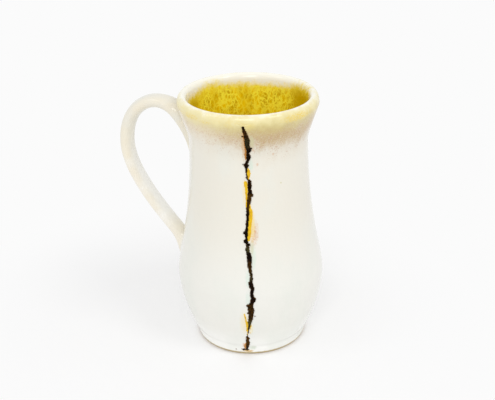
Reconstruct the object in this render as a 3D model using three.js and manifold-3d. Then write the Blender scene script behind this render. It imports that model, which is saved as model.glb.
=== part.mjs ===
// A tall thrown mug, fired as one piece of clay: a narrow foot, a full belly, a waist and
// a flared lip, a pulled handle, and a long crack down the front with black slag fused in it.
// Millimetres, +Z up. The origin is the centre of the base, on the surface it stands on.
// The handle points along -X.
import * as THREE from 'three';
import { mergeVertices } from 'three/addons/utils/BufferGeometryUtils.js';
import Module from 'manifold-3d';

// Body, from the foot up: a height is taken from the base, and a drop from the rim.
const MUG_HEIGHT = 140;
const BASE_RADIUS = 29.6;
const BASE_EDGE = 0.6;
const FOOT_RADIUS = 30.4;
const FOOT_HEIGHT = 5;
const FOOT_SLOPE = 53;
const FOOT_PULL = 4;
const GLAZE_LINE_HEIGHT = 6.2;
const GLAZE_LINE_DEPTH = 0.3;
const GLAZE_LINE_HALF = 0.55;
const BELLY_RADIUS = 39.8;
const BELLY_HEIGHT = 40;
const BELLY_PULL_DOWN = 14.5;
const BELLY_PULL_UP = 9;
const WAIST_RADIUS = 31.2;
const WAIST_DROP = 24;
const WAIST_PULL_DOWN = 45;
const WAIST_PULL_UP = 4;
const LIP_RADIUS = 36.9;
const LIP_WIDTH = 5.5;
const LIP_ROUND = 4.2;
const LIP_PULL = 1.5;

// Inside of the cup.
const WALL = 4;
const FLOOR = 6;
const FLOOR_CORNER = 11;

// Handle: its middle line climbs from the waist, arches over, hangs down to an elbow and
// ends as a tail that is pressed on the belly. Reaches are taken from the wall of the waist.
const HANDLE_THICKNESS = 7.3;
const HANDLE_WIDTH = 10.5;
const HANDLE_RIDGE = 0.45;
const ROOT_DROP = 29.5;
const ROOT_ANGLE = 62;
const ROOT_PULL = 3;
const ROOT_BURIED = 9;
const ARCH_REACH = 20.8;
const ARCH_DROP = 10.2;
const ARCH_PULL_IN = 15.3;
const ARCH_PULL_OUT = 7.2;
const GRIP_REACH = 41.1;
const GRIP_DROP = 36.8;
const GRIP_PULL_UP = 20;
const GRIP_PULL_DOWN = 17.5;
const ELBOW_OFF_WALL = 9.6;
const ELBOW_HEIGHT = 57.6;
const ELBOW_ANGLE = 48;
const ELBOW_PULL = 8;
const TAIL_HEIGHT = 42.5;
const TAIL_PULL = 8;
const TAIL_END_HEIGHT = 31;
const ROOT_SWELL = 0.35;
const ROOT_SWELL_LENGTH = 8;
const TAIL_SPREAD = 0.3;
const TAIL_THINNING = 0.5;
const TAIL_LENGTH = 24;

// Crack: it runs down the wall at this turn about the axis, counted from +X.
const CRACK_TURN = -71;
const CRACK_TOP_DROP = 5.5;
const CRACK_FOOT_HEIGHT = 3;
const CRACK_DEPTH = 1.7;
const CRACK_LIP = 0.55;
const SLAG_CROWN = 0.55;
const SLAG_CROWN_SHARE = 0.45;
const SLAG_EDGE_DEPTH = 0.1;
const SLAG_ROOT = 0.5;
const SLAG_ROOT_SHARE = 0.6;
const RAGGED = 0.28;
const CRACK_STEP = 2;
const CRACK_TAPER = 5;
// Its wander: share of the way up, offset to the right of the turn and width, both in mm.
const CRACK_WANDER = [
  [0, -1.8, 1.2],
  [0.06, -0.7, 1.5],
  [0.1, -0.5, 0.7],
  [0.18, 1.0, 1.9],
  [0.23, 1.8, 3.0],
  [0.285, 2.7, 2.8],
  [0.33, 2.6, 2.5],
  [0.38, 2.0, 1.3],
  [0.45, 1.4, 2.4],
  [0.51, 0.2, 1.9],
  [0.555, -0.4, 1.6],
  [0.64, 0.8, 1.6],
  [0.69, 1.7, 2.4],
  [0.74, 1.7, 2.5],
  [0.785, 0.5, 1.0],
  [0.83, 0.3, 2.4],
  [0.895, 1.6, 2.5],
  [0.95, 1.0, 2.3],
  [1, -0.7, 1.3],
];

// Fineness of the curved surfaces: the wall's steps run foot to belly, to waist, to lip.
const AROUND = 56;
const WALL_STEPS = [9, 10, 5];
const WALL_SAMPLES = 60;
const LIP_STEPS = 4;
const CORNER_STEPS = 5;
const HANDLE_SIDES = 14;
const HANDLE_STEPS = 40;

const GLAZE = new THREE.MeshStandardMaterial({ color: 0xf0ede2, roughness: 0.25, metalness: 0 });
const LINER = new THREE.MeshStandardMaterial({ color: 0xb99a2e, roughness: 0.3, metalness: 0 });
const CRACK_GLAZE = new THREE.MeshStandardMaterial({ color: 0xc88a24, roughness: 0.3, metalness: 0 });
const SLAG = new THREE.MeshStandardMaterial({ color: 0x1c130c, roughness: 0.65, metalness: 0 });

const wasm = await Module();
wasm.setup();

const { degToRad, lerp, clamp } = THREE.MathUtils;
const at = (x, y) => new THREE.Vector2(x, y);
const polar = (length, degrees) => at(length, 0).rotateAround(at(0, 0), degToRad(degrees));

// The wall's outer line from the foot to the widest point of the lip, as (radius, height).
function outerLine() {
  const foot = at(FOOT_RADIUS, FOOT_HEIGHT);
  const belly = at(BELLY_RADIUS, BELLY_HEIGHT);
  const waist = at(WAIST_RADIUS, MUG_HEIGHT - WAIST_DROP);
  const lip = at(LIP_RADIUS, MUG_HEIGHT - LIP_ROUND);
  const line = new THREE.CurvePath();
  line.add(new THREE.CubicBezierCurve(
    foot,
    foot.clone().add(polar(FOOT_PULL, FOOT_SLOPE)),
    at(BELLY_RADIUS, BELLY_HEIGHT - BELLY_PULL_DOWN),
    belly,
  ));
  line.add(new THREE.CubicBezierCurve(
    belly,
    at(BELLY_RADIUS, BELLY_HEIGHT + BELLY_PULL_UP),
    at(WAIST_RADIUS, waist.y - WAIST_PULL_DOWN),
    waist,
  ));
  line.add(new THREE.CubicBezierCurve(
    waist,
    at(WAIST_RADIUS, waist.y + WAIST_PULL_UP),
    at(LIP_RADIUS, lip.y - LIP_PULL),
    lip,
  ));
  return line;
}

const WALL_LINE = outerLine().curves.map((curve) => curve.getPoints(WALL_SAMPLES)).flat();
const LIP_CENTRE = at(LIP_RADIUS - LIP_WIDTH / 2, MUG_HEIGHT - LIP_ROUND);

// Radius of the wall's outer face at a height.
function wallRadius(height) {
  if (height <= FOOT_HEIGHT) return lerp(BASE_RADIUS, FOOT_RADIUS, Math.max(height, 0) / FOOT_HEIGHT);
  const above = WALL_LINE.findIndex((point) => point.y >= height);
  if (above < 0) return LIP_RADIUS;
  const [low, high] = [WALL_LINE[Math.max(above - 1, 0)], WALL_LINE[above]];
  return high.y > low.y ? lerp(low.x, high.x, (height - low.y) / (high.y - low.y)) : high.x;
}

// Stretch of an ellipse about a centre, between two angles in degrees.
function arc(centre, halfWide, halfHigh, from, to, steps) {
  return Array.from({ length: steps + 1 }, (_, i) => {
    const angle = degToRad(lerp(from, to, i / steps));
    return at(centre.x + halfWide * Math.cos(angle), centre.y + halfHigh * Math.sin(angle));
  });
}

// Fine groove round the foot, where the glaze stops.
function glazeLine() {
  const groove = [[-GLAZE_LINE_HALF, 0], [0, GLAZE_LINE_DEPTH], [GLAZE_LINE_HALF, 0]];
  return groove.map(([up, depth]) => {
    const height = GLAZE_LINE_HEIGHT + up;
    return at(wallRadius(height) - depth, height);
  });
}

// Points of the wall's outer line above the foot.
function wallPoints() {
  return outerLine().curves.map((curve, i) => curve.getPoints(WALL_STEPS[i]).slice(1)).flat();
}

// The body without its hollow, revolved from a profile that starts and ends on the axis.
function bodySolid() {
  const clear = (point) => Math.abs(point.y - GLAZE_LINE_HEIGHT) > 2 * GLAZE_LINE_HALF;
  const profile = [
    at(0, 0),
    at(BASE_RADIUS - BASE_EDGE, 0),
    at(BASE_RADIUS, BASE_EDGE),
    at(FOOT_RADIUS, FOOT_HEIGHT),
    ...glazeLine(),
    ...wallPoints().filter((point) => point.y > GLAZE_LINE_HEIGHT && clear(point)),
    ...arc(LIP_CENTRE, LIP_WIDTH / 2, LIP_ROUND, 0, 90, LIP_STEPS).slice(1),
    at(0, MUG_HEIGHT),
  ];
  return revolve(profile);
}

// Radius of the hollow at a height: a wall inside the outer face, rounded into the floor.
function hollowRadius(height) {
  const rise = clamp((height - FLOOR) / FLOOR_CORNER, 0, 1);
  const corner = FLOOR_CORNER * (1 - Math.sqrt(1 - (1 - rise) ** 2));
  return wallRadius(height) - WALL - corner;
}

// The hollow of the cup, with the inner half of the rounded lip, reaching above the rim.
function hollowSolid() {
  const waist = MUG_HEIGHT - WAIST_DROP;
  const mouth = LIP_RADIUS - LIP_WIDTH;
  const cornerTop = FLOOR + FLOOR_CORNER;
  const corner = arc(at(0, cornerTop), 0, FLOOR_CORNER, -90, 0, CORNER_STEPS).map((point) => point.y);
  const heights = wallPoints().map((point) => point.y).filter((height) => height > cornerTop);
  const below = heights.filter((height) => height <= waist);
  const flare = heights.filter((height) => height > waist);
  const profile = [
    at(0, FLOOR),
    ...[...corner, ...below].map((height) => at(hollowRadius(height), height)),
    ...flare.map((height) => at(Math.min(hollowRadius(height), mouth), height)),
    ...arc(LIP_CENTRE, LIP_WIDTH / 2, LIP_ROUND, 180, 90, LIP_STEPS).slice(1),
    at(LIP_CENTRE.x, MUG_HEIGHT + LIP_ROUND),
    at(0, MUG_HEIGHT + LIP_ROUND),
  ];
  return revolve(profile);
}

// The handle's middle line, as (distance from the axis, height). Both ends start inside the wall.
function handleLine() {
  const rootHeight = MUG_HEIGHT - ROOT_DROP;
  const root = at(wallRadius(rootHeight) - WALL / 3, rootHeight);
  const arch = at(WAIST_RADIUS + ARCH_REACH, MUG_HEIGHT - ARCH_DROP);
  const grip = at(WAIST_RADIUS + GRIP_REACH, MUG_HEIGHT - GRIP_DROP);
  const elbow = at(wallRadius(ELBOW_HEIGHT) + ELBOW_OFF_WALL, ELBOW_HEIGHT);
  const elbowPull = polar(ELBOW_PULL, ELBOW_ANGLE);
  const tail = at(wallRadius(TAIL_HEIGHT) - HANDLE_RIDGE, TAIL_HEIGHT);
  const end = at(wallRadius(TAIL_END_HEIGHT) - WALL / 2, TAIL_END_HEIGHT);
  const line = new THREE.CurvePath();
  line.add(new THREE.LineCurve(root.clone().sub(polar(ROOT_BURIED, ROOT_ANGLE)), root));
  line.add(new THREE.CubicBezierCurve(
    root,
    root.clone().add(polar(ROOT_PULL, ROOT_ANGLE)),
    at(arch.x - ARCH_PULL_IN, arch.y),
    arch,
  ));
  line.add(new THREE.CubicBezierCurve(
    arch,
    at(arch.x + ARCH_PULL_OUT, arch.y),
    at(grip.x, grip.y + GRIP_PULL_UP),
    grip,
  ));
  line.add(new THREE.CubicBezierCurve(
    grip,
    at(grip.x, grip.y - GRIP_PULL_DOWN),
    elbow.clone().add(elbowPull),
    elbow,
  ));
  line.add(new THREE.CubicBezierCurve(
    elbow,
    elbow.clone().sub(elbowPull),
    at(tail.x, tail.y + TAIL_PULL),
    tail,
  ));
  line.add(new THREE.LineCurve(tail, end));
  return line;
}

// One oval section of the handle, with a soft ridge down its outer face.
function handleSection(centre, outward, thickness, width) {
  return Array.from({ length: HANDLE_SIDES }, (_, i) => {
    const angle = (2 * Math.PI * i) / HANDLE_SIDES;
    const ridge = HANDLE_RIDGE * Math.max(Math.sin(angle), 0) ** 6;
    const off = (thickness / 2) * Math.sin(angle) + ridge;
    const across = (width / 2) * Math.cos(angle);
    const place = centre.clone().addScaledVector(outward, off);
    return new THREE.Vector3(-place.x, across, place.y);
  });
}

// The pulled handle: swollen where it joins the waist, thinned and spread down the belly.
function handleSolid() {
  const line = handleLine();
  const length = line.getLength();
  const rings = Array.from({ length: HANDLE_STEPS + 1 }, (_, i) => {
    const share = i / HANDLE_STEPS;
    const centre = line.getPointAt(share);
    const along = line.getTangentAt(share);
    const outward = at(-along.y, along.x);
    const fromRoot = (share * length - ROOT_BURIED) / ROOT_SWELL_LENGTH;
    const swell = 1 + ROOT_SWELL * Math.exp(-(fromRoot ** 2));
    const tail = clamp(1 - ((1 - share) * length) / TAIL_LENGTH, 0, 1);
    const thickness = HANDLE_THICKNESS * swell * (1 - TAIL_THINNING * tail ** 2);
    const width = HANDLE_WIDTH * swell * (1 + TAIL_SPREAD * Math.sin(Math.PI * tail));
    return handleSection(centre, outward, thickness, width);
  });
  return loft(rings);
}

// Seeded chance, so that the ragged edges come out the same every time.
function chance(seed) {
  let state = seed;
  return () => {
    state = (state * 16807) % 2147483647;
    return state / 2147483647;
  };
}

// The crack's middle line over the wall, as (offset to the right, width, height).
function crackLine() {
  const top = MUG_HEIGHT - CRACK_TOP_DROP;
  const points = CRACK_WANDER.map(
    ([share, offset, width]) => new THREE.Vector3(offset, width, lerp(CRACK_FOOT_HEIGHT, top, share)),
  );
  const line = new THREE.CatmullRomCurve3(points);
  return line.getSpacedPoints(Math.round((top - CRACK_FOOT_HEIGHT) / CRACK_STEP));
}

// How far the crack is open at a height: fully, but closing to a third at its two ends.
function crackOpening(height) {
  const fromEnd = Math.min(height - CRACK_FOOT_HEIGHT, MUG_HEIGHT - CRACK_TOP_DROP - height);
  return lerp(1 / 3, 1, clamp(fromEnd / CRACK_TAPER, 0, 1));
}

// A point off the wall's outer face: sideways along it, and out from it square to its slope.
function offWall(height, sideways, out) {
  const radius = wallRadius(height);
  const slope = (wallRadius(height + CRACK_STEP) - wallRadius(height - CRACK_STEP)) / (2 * CRACK_STEP);
  const square = at(1, -slope).normalize().multiplyScalar(out);
  const angle = degToRad(CRACK_TURN) + sideways / radius;
  const reach = radius + square.x;
  return new THREE.Vector3(reach * Math.cos(angle), reach * Math.sin(angle), height + square.y);
}

// The open split: a V cut into the wall that follows the crack, a little wider than the slag.
function splitSolid() {
  const roll = chance(11);
  const rings = crackLine().map(({ x: offset, y: width, z: height }) => {
    const open = crackOpening(height);
    const left = (width / 2 + CRACK_LIP + RAGGED * roll()) * open;
    const right = (width / 2 + CRACK_LIP + RAGGED * roll()) * open;
    const above = 1 + SLAG_CROWN / CRACK_DEPTH;
    return [
      offWall(height, offset - left * above, SLAG_CROWN),
      offWall(height, offset + RAGGED * (roll() - 0.5) * open, -CRACK_DEPTH * open),
      offWall(height, offset + right * above, SLAG_CROWN),
    ];
  });
  return loft(rings);
}

// The crust of slag that is fused to the bottom of the split and stands a little proud of it.
// It stops one step short of each end of the split.
function slagSolid() {
  const roll = chance(29);
  const ragged = () => RAGGED * (2 * roll() - 1);
  const deep = -CRACK_DEPTH - SLAG_ROOT;
  const rings = crackLine().slice(1, -1).map(({ x: offset, y: width, z: height }) => {
    const half = (width / 2) * crackOpening(height);
    const crown = SLAG_CROWN * Math.min(half, 1);
    return [
      offWall(height, offset - half * SLAG_ROOT_SHARE, deep),
      offWall(height, offset + half * SLAG_ROOT_SHARE, deep),
      offWall(height, offset + half + ragged(), ragged() / 2 - SLAG_EDGE_DEPTH),
      offWall(height, offset + half * SLAG_CROWN_SHARE, crown + ragged()),
      offWall(height, offset - half * SLAG_CROWN_SHARE, crown + ragged()),
      offWall(height, offset - half + ragged(), ragged() / 2 - SLAG_EDGE_DEPTH),
    ];
  });
  return loft(rings);
}

// Joins rings of equal length into a closed skin, with a fan over each end.
function loft(rings) {
  const sides = rings[0].length;
  const middle = (ring) => ring.reduce((sum, p) => sum.add(p), new THREE.Vector3()).divideScalar(sides);
  const points = [...rings.flat(), middle(rings[0]), middle(rings[rings.length - 1])];
  const [startCap, endCap] = [points.length - 2, points.length - 1];
  const index = [];
  for (let ring = 0; ring < rings.length - 1; ring += 1) {
    for (let side = 0; side < sides; side += 1) {
      const a = ring * sides + side;
      const b = ring * sides + ((side + 1) % sides);
      index.push(a, b + sides, b, a, a + sides, b + sides);
    }
  }
  const last = (rings.length - 1) * sides;
  for (let side = 0; side < sides; side += 1) {
    const next = (side + 1) % sides;
    index.push(startCap, side, next, endCap, last + next, last + side);
  }
  const geometry = new THREE.BufferGeometry().setFromPoints(points);
  geometry.setIndex(index);
  return solidOf(geometry);
}

// Revolves a profile of (radius, height) about the upright axis.
function revolve(profile) {
  return solidOf(new THREE.LatheGeometry(profile, AROUND).rotateX(Math.PI / 2));
}

// A closed three.js geometry as a solid that can be joined and cut.
function solidOf(geometry) {
  geometry.deleteAttribute('normal');
  geometry.deleteAttribute('uv');
  const merged = mergeVertices(geometry);
  return new wasm.Manifold(new wasm.Mesh({
    numProp: 3,
    vertProperties: merged.attributes.position.array,
    triVerts: new Uint32Array(merged.index.array),
  })).asOriginal();
}

// A solid as a geometry again, with one group of faces for each solid that it came from.
function geometryOf(solid, finishes) {
  const mesh = solid.getMesh();
  const geometry = new THREE.BufferGeometry();
  geometry.setAttribute('position', new THREE.BufferAttribute(mesh.vertProperties, 3));
  geometry.setIndex(new THREE.BufferAttribute(mesh.triVerts, 1));
  mesh.runOriginalID.forEach((id, run) => {
    const start = mesh.runIndex[run];
    geometry.addGroup(start, mesh.runIndex[run + 1] - start, finishes.get(id) ?? 0);
  });
  geometry.computeVertexNormals();
  return geometry;
}

// The whole mug: body and handle joined, hollowed, split down the front and filled with slag.
function mugMesh() {
  const body = bodySolid();
  const handle = handleSolid();
  const hollow = hollowSolid();
  const split = splitSolid();
  const slag = slagSolid();
  const finishes = new Map([
    [body.originalID(), 0],
    [handle.originalID(), 0],
    [hollow.originalID(), 1],
    [split.originalID(), 2],
    [slag.originalID(), 3],
  ]);
  const mug = body.add(handle).subtract(hollow).subtract(split).add(slag);
  const mesh = new THREE.Mesh(geometryOf(mug, finishes), [GLAZE, LINER, CRACK_GLAZE, SLAG]);
  mesh.name = 'mug';
  return mesh;
}

const group = new THREE.Group();
group.add(mugMesh());

export default group;
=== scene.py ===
"""A tall thrown mug with a pulled handle and a slag-filled crack, glazed and lit for its portrait.

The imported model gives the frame: metres, +Z up, the origin under the middle of the base and the
handle towards -X. Sizes in the classes below are in millimetres.
"""

import logging
import math
from collections.abc import Callable, Iterator
from contextlib import contextmanager
from dataclasses import dataclass, field
from enum import Enum
from functools import cached_property
from typing import ClassVar

import bmesh
import bpy
import numpy as np
from mathutils import Matrix, Vector, noise


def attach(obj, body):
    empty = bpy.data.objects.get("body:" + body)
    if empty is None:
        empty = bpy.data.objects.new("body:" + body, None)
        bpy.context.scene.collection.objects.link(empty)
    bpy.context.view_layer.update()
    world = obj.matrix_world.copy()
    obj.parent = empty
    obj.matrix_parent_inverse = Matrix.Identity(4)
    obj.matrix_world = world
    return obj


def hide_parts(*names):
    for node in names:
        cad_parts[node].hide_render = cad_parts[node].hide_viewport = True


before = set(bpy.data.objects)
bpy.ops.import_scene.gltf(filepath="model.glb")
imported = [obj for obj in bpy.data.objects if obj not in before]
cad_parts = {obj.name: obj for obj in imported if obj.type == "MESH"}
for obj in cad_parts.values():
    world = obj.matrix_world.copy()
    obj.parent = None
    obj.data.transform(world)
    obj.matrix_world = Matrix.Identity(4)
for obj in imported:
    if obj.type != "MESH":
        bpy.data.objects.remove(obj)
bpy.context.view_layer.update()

MM = 0.001
FAINT_SHINE = 0.03
ROOM_WHITE = 0.965
log = logging.getLogger("cracked_mug")

Pair = tuple[float, float]
Triple = tuple[float, float, float]
Colour = tuple[float, float, float, float]
Profile = list[Pair]
Piece = bpy.types.Object
Material = bpy.types.Material
Test = Callable[[Vector], bool]


def srgb(*levels: int) -> Colour:
    """Turns a colour as a screen shows it into the linear colour of a shader.

    Args:
        levels: red, green and blue, each 0 to 255.

    Returns:
        The linear red, green and blue, and an opaque alpha.
    """
    shares = [level / 255 for level in levels]
    return (*(share / 12.92 if share <= 0.04045 else ((share + 0.055) / 1.055) ** 2.4
              for share in shares), 1.0)


def ease(value: float, low: float, high: float) -> float:
    """Goes smoothly from 0 at low to 1 at high."""
    share = min(max((value - low) / (high - low), 0.0), 1.0)
    return share * share * (3 - 2 * share)


def bell(value: float, middle: float, width: float) -> float:
    """Rises smoothly to 1 at the middle and falls off again within about two widths."""
    return math.exp(-(((value - middle) / width) ** 2))


def cloud(*place: float) -> float:
    """Smooth noise, between about -1 and 1, at a place."""
    return noise.noise(Vector(place))


def polar(length: float, degrees: float) -> Pair:
    """A step of a length in a direction, as how far along and how far up it goes."""
    return length * math.cos(math.radians(degrees)), length * math.sin(math.radians(degrees))


def bezier(points: Profile, steps: int) -> Profile:
    """Walks along one cubic curve.

    Args:
        points: the two ends of the curve with its two pulls between them.
        steps: how many equal steps of the curve's own measure to take.

    Returns:
        steps + 1 points, both ends included.
    """
    share = np.linspace(0, 1, steps + 1)[:, None]
    start, pull_a, pull_b, end = np.array(points, float)
    back = 1 - share
    line = back**3 * start + 3 * back**2 * share * pull_a + 3 * back * share**2 * pull_b + share**3 * end
    return [tuple(point) for point in line]


def select_only(*pieces: Piece) -> None:
    """Selects these pieces and nothing else.

    Args:
        pieces: the objects, of which the last becomes the active one.
    """
    bpy.ops.object.select_all(action="DESELECT")
    for piece in pieces:
        piece.select_set(True)
    bpy.context.view_layer.objects.active = pieces[-1]


@contextmanager
def editing(piece: Piece, select_by: str = "FACE") -> Iterator[None]:
    """Opens a piece, and nothing else, in edit mode, with nothing of it selected.

    Args:
        piece: the object to edit.
        select_by: VERT, EDGE or FACE.

    Returns:
        The context, which goes back to object mode when it ends.
    """
    select_only(piece)
    bpy.ops.object.mode_set(mode="EDIT")
    bpy.ops.mesh.select_mode(type=select_by)
    bpy.ops.mesh.select_all(action="DESELECT")
    yield
    bpy.ops.object.mode_set(mode="OBJECT")


def pick_faces(piece: Piece, wanted: Test) -> None:
    """Selects faces of an opened piece.

    Args:
        piece: the object that is open in edit mode.
        wanted: the test for a face's middle, in millimetres.
    """
    mesh = bmesh.from_edit_mesh(piece.data)
    for face in mesh.faces:
        face.select_set(wanted(face.calc_center_median() / MM))
    bmesh.update_edit_mesh(piece.data)


def pick_open_edges(piece: Piece, wanted: Test) -> None:
    """Selects open edges of an opened piece.

    Args:
        piece: the object that is open in edit mode.
        wanted: the test for an edge's middle, in millimetres.
    """
    mesh = bmesh.from_edit_mesh(piece.data)
    for edge in mesh.edges:
        middle = (edge.verts[0].co + edge.verts[1].co) / 2
        edge.select_set(edge.is_boundary and wanted(middle / MM))
    bmesh.update_edit_mesh(piece.data)


def apply_modifier(piece: Piece, kind: str, **settings: object) -> None:
    """Adds a modifier and applies it.

    Args:
        piece: the object to change.
        kind: the modifier's type.
        settings: the modifier's own settings.
    """
    select_only(piece)
    modifier = piece.modifiers.new(kind.lower(), kind)
    for name, value in settings.items():
        setattr(modifier, name, value)
    bpy.ops.object.modifier_apply(modifier=modifier.name)


def read_points(piece: Piece) -> np.ndarray:
    """Reads where a piece's vertices are.

    Args:
        piece: the object to read.

    Returns:
        One row of x, y and z in millimetres for each vertex.
    """
    flat = np.empty(len(piece.data.vertices) * 3, np.float32)
    piece.data.vertices.foreach_get("co", flat)
    return flat.reshape(-1, 3).astype(float) / MM


def write_points(piece: Piece, points: np.ndarray) -> None:
    """Moves a piece's vertices to places in millimetres."""
    piece.data.vertices.foreach_set("co", (points * MM).astype(np.float32).ravel())
    piece.data.update()


def write_values(piece: Piece, name: str, values: np.ndarray) -> None:
    """Stores one number for each vertex of a piece under a name."""
    layer = piece.data.attributes.get(name) or piece.data.attributes.new(name, "FLOAT", "POINT")
    layer.data.foreach_set("value", np.asarray(values, np.float32))


def read_values(piece: Piece, name: str) -> np.ndarray:
    """Reads the number that each vertex of a piece has under a name.

    Args:
        piece: the object to read.
        name: the name the numbers are stored under.

    Returns:
        The numbers, in the order of the vertices.
    """
    values = np.empty(len(piece.data.vertices), np.float32)
    piece.data.attributes[name].data.foreach_get("value", values)
    return values


@dataclass(frozen=True)
class WallShape:
    """The thrown wall: its outer line from foot to lip, and the hollow inside it."""

    height: float = 140.0
    base_radius: float = 29.6
    base_edge: float = 0.6
    foot_radius: float = 30.4
    foot_height: float = 5.0
    foot_slope: float = 53.0
    foot_pull: float = 4.0
    belly_radius: float = 39.8
    belly_height: float = 40.0
    belly_pull_down: float = 14.5
    belly_pull_up: float = 9.0
    waist_radius: float = 31.2
    waist_drop: float = 24.0
    waist_pull_down: float = 45.0
    waist_pull_up: float = 4.0
    lip_radius: float = 36.9
    lip_width: float = 5.5
    lip_round: float = 4.2
    lip_pull: float = 1.5
    wall: float = 4.0
    floor: float = 6.0
    floor_corner: float = 11.0

    @cached_property
    def line(self) -> np.ndarray:
        """The outer line from the base to the widest point of the lip.

        Returns:
            Closely spaced rows of radius and height.
        """
        slope = math.radians(self.foot_slope)
        foot = (self.foot_radius, self.foot_height)
        pull = (foot[0] + self.foot_pull * math.cos(slope), foot[1] + self.foot_pull * math.sin(slope))
        belly = (self.belly_radius, self.belly_height)
        waist = (self.waist_radius, self.height - self.waist_drop)
        lip = (self.lip_radius, self.lip_height)
        stretches = [
            [foot, pull, (belly[0], belly[1] - self.belly_pull_down), belly],
            [belly, (belly[0], belly[1] + self.belly_pull_up),
             (waist[0], waist[1] - self.waist_pull_down), waist],
            [waist, (waist[0], waist[1] + self.waist_pull_up), (lip[0], lip[1] - self.lip_pull), lip],
        ]
        points = [(self.base_radius, 0.0)]
        for stretch in stretches:
            points += bezier(stretch, 60)
        return np.array(points)

    @property
    def lip_height(self) -> float:
        """Height of the widest point of the lip."""
        return self.height - self.lip_round

    @property
    def lip_middle(self) -> float:
        """Radius of the middle of the lip, where the rim is highest."""
        return self.lip_radius - self.lip_width / 2

    def outer(self, height: float | np.ndarray) -> float | np.ndarray:
        """Radius of the outer face at a height."""
        return np.interp(height, self.line[:, 1], self.line[:, 0])

    def inner(self, height: float) -> float:
        """Radius of the hollow, rounded into the floor and kept to the lip's width above the waist.

        Args:
            height: millimetres above the base.

        Returns:
            The radius in millimetres.
        """
        rise = min(max((height - self.floor) / self.floor_corner, 0), 1)
        corner = self.floor_corner * (1 - math.sqrt(1 - (1 - rise) ** 2))
        radius = float(self.outer(height)) - self.wall - corner
        if height < self.height - self.waist_drop:
            return radius
        return min(radius, self.lip_radius - self.lip_width)

    def slope(self, height: float) -> float:
        """How much the outer radius grows for each millimetre upwards."""
        return float(self.outer(height + 0.5) - self.outer(height - 0.5))

    def lip_arc(self, start: float, end: float, steps: int) -> Profile:
        """Points over the rounded lip.

        Args:
            start: the angle to start from in degrees, 0 at the outside; its point is left out.
            end: the angle of the last point, 180 at the inside.
            steps: how many points there are.

        Returns:
            Radius and height of each point.
        """
        turns = [math.radians(start + (end - start) * step / steps) for step in range(1, steps + 1)]
        half = self.lip_width / 2
        return [
            (self.lip_middle + half * math.cos(turn), self.lip_height + self.lip_round * math.sin(turn))
            for turn in turns
        ]


@dataclass(frozen=True)
class Lump:
    """A small oval blob of slag on the wall: its place, half its width and half its height."""

    side: float
    height: float
    half_width: float
    half_height: float

    def inside(self, side: float, height: float) -> float:
        """How far a point lies inside the blob's edge.

        Args:
            side: millimetres to the right of the crack's turn.
            height: millimetres above the base.

        Returns:
            Millimetres from the edge, negative outside it.
        """
        across = (side - self.side) / self.half_width
        along = (height - self.height) / self.half_height
        return (1 - math.hypot(across, along)) * min(self.half_width, self.half_height)


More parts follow.
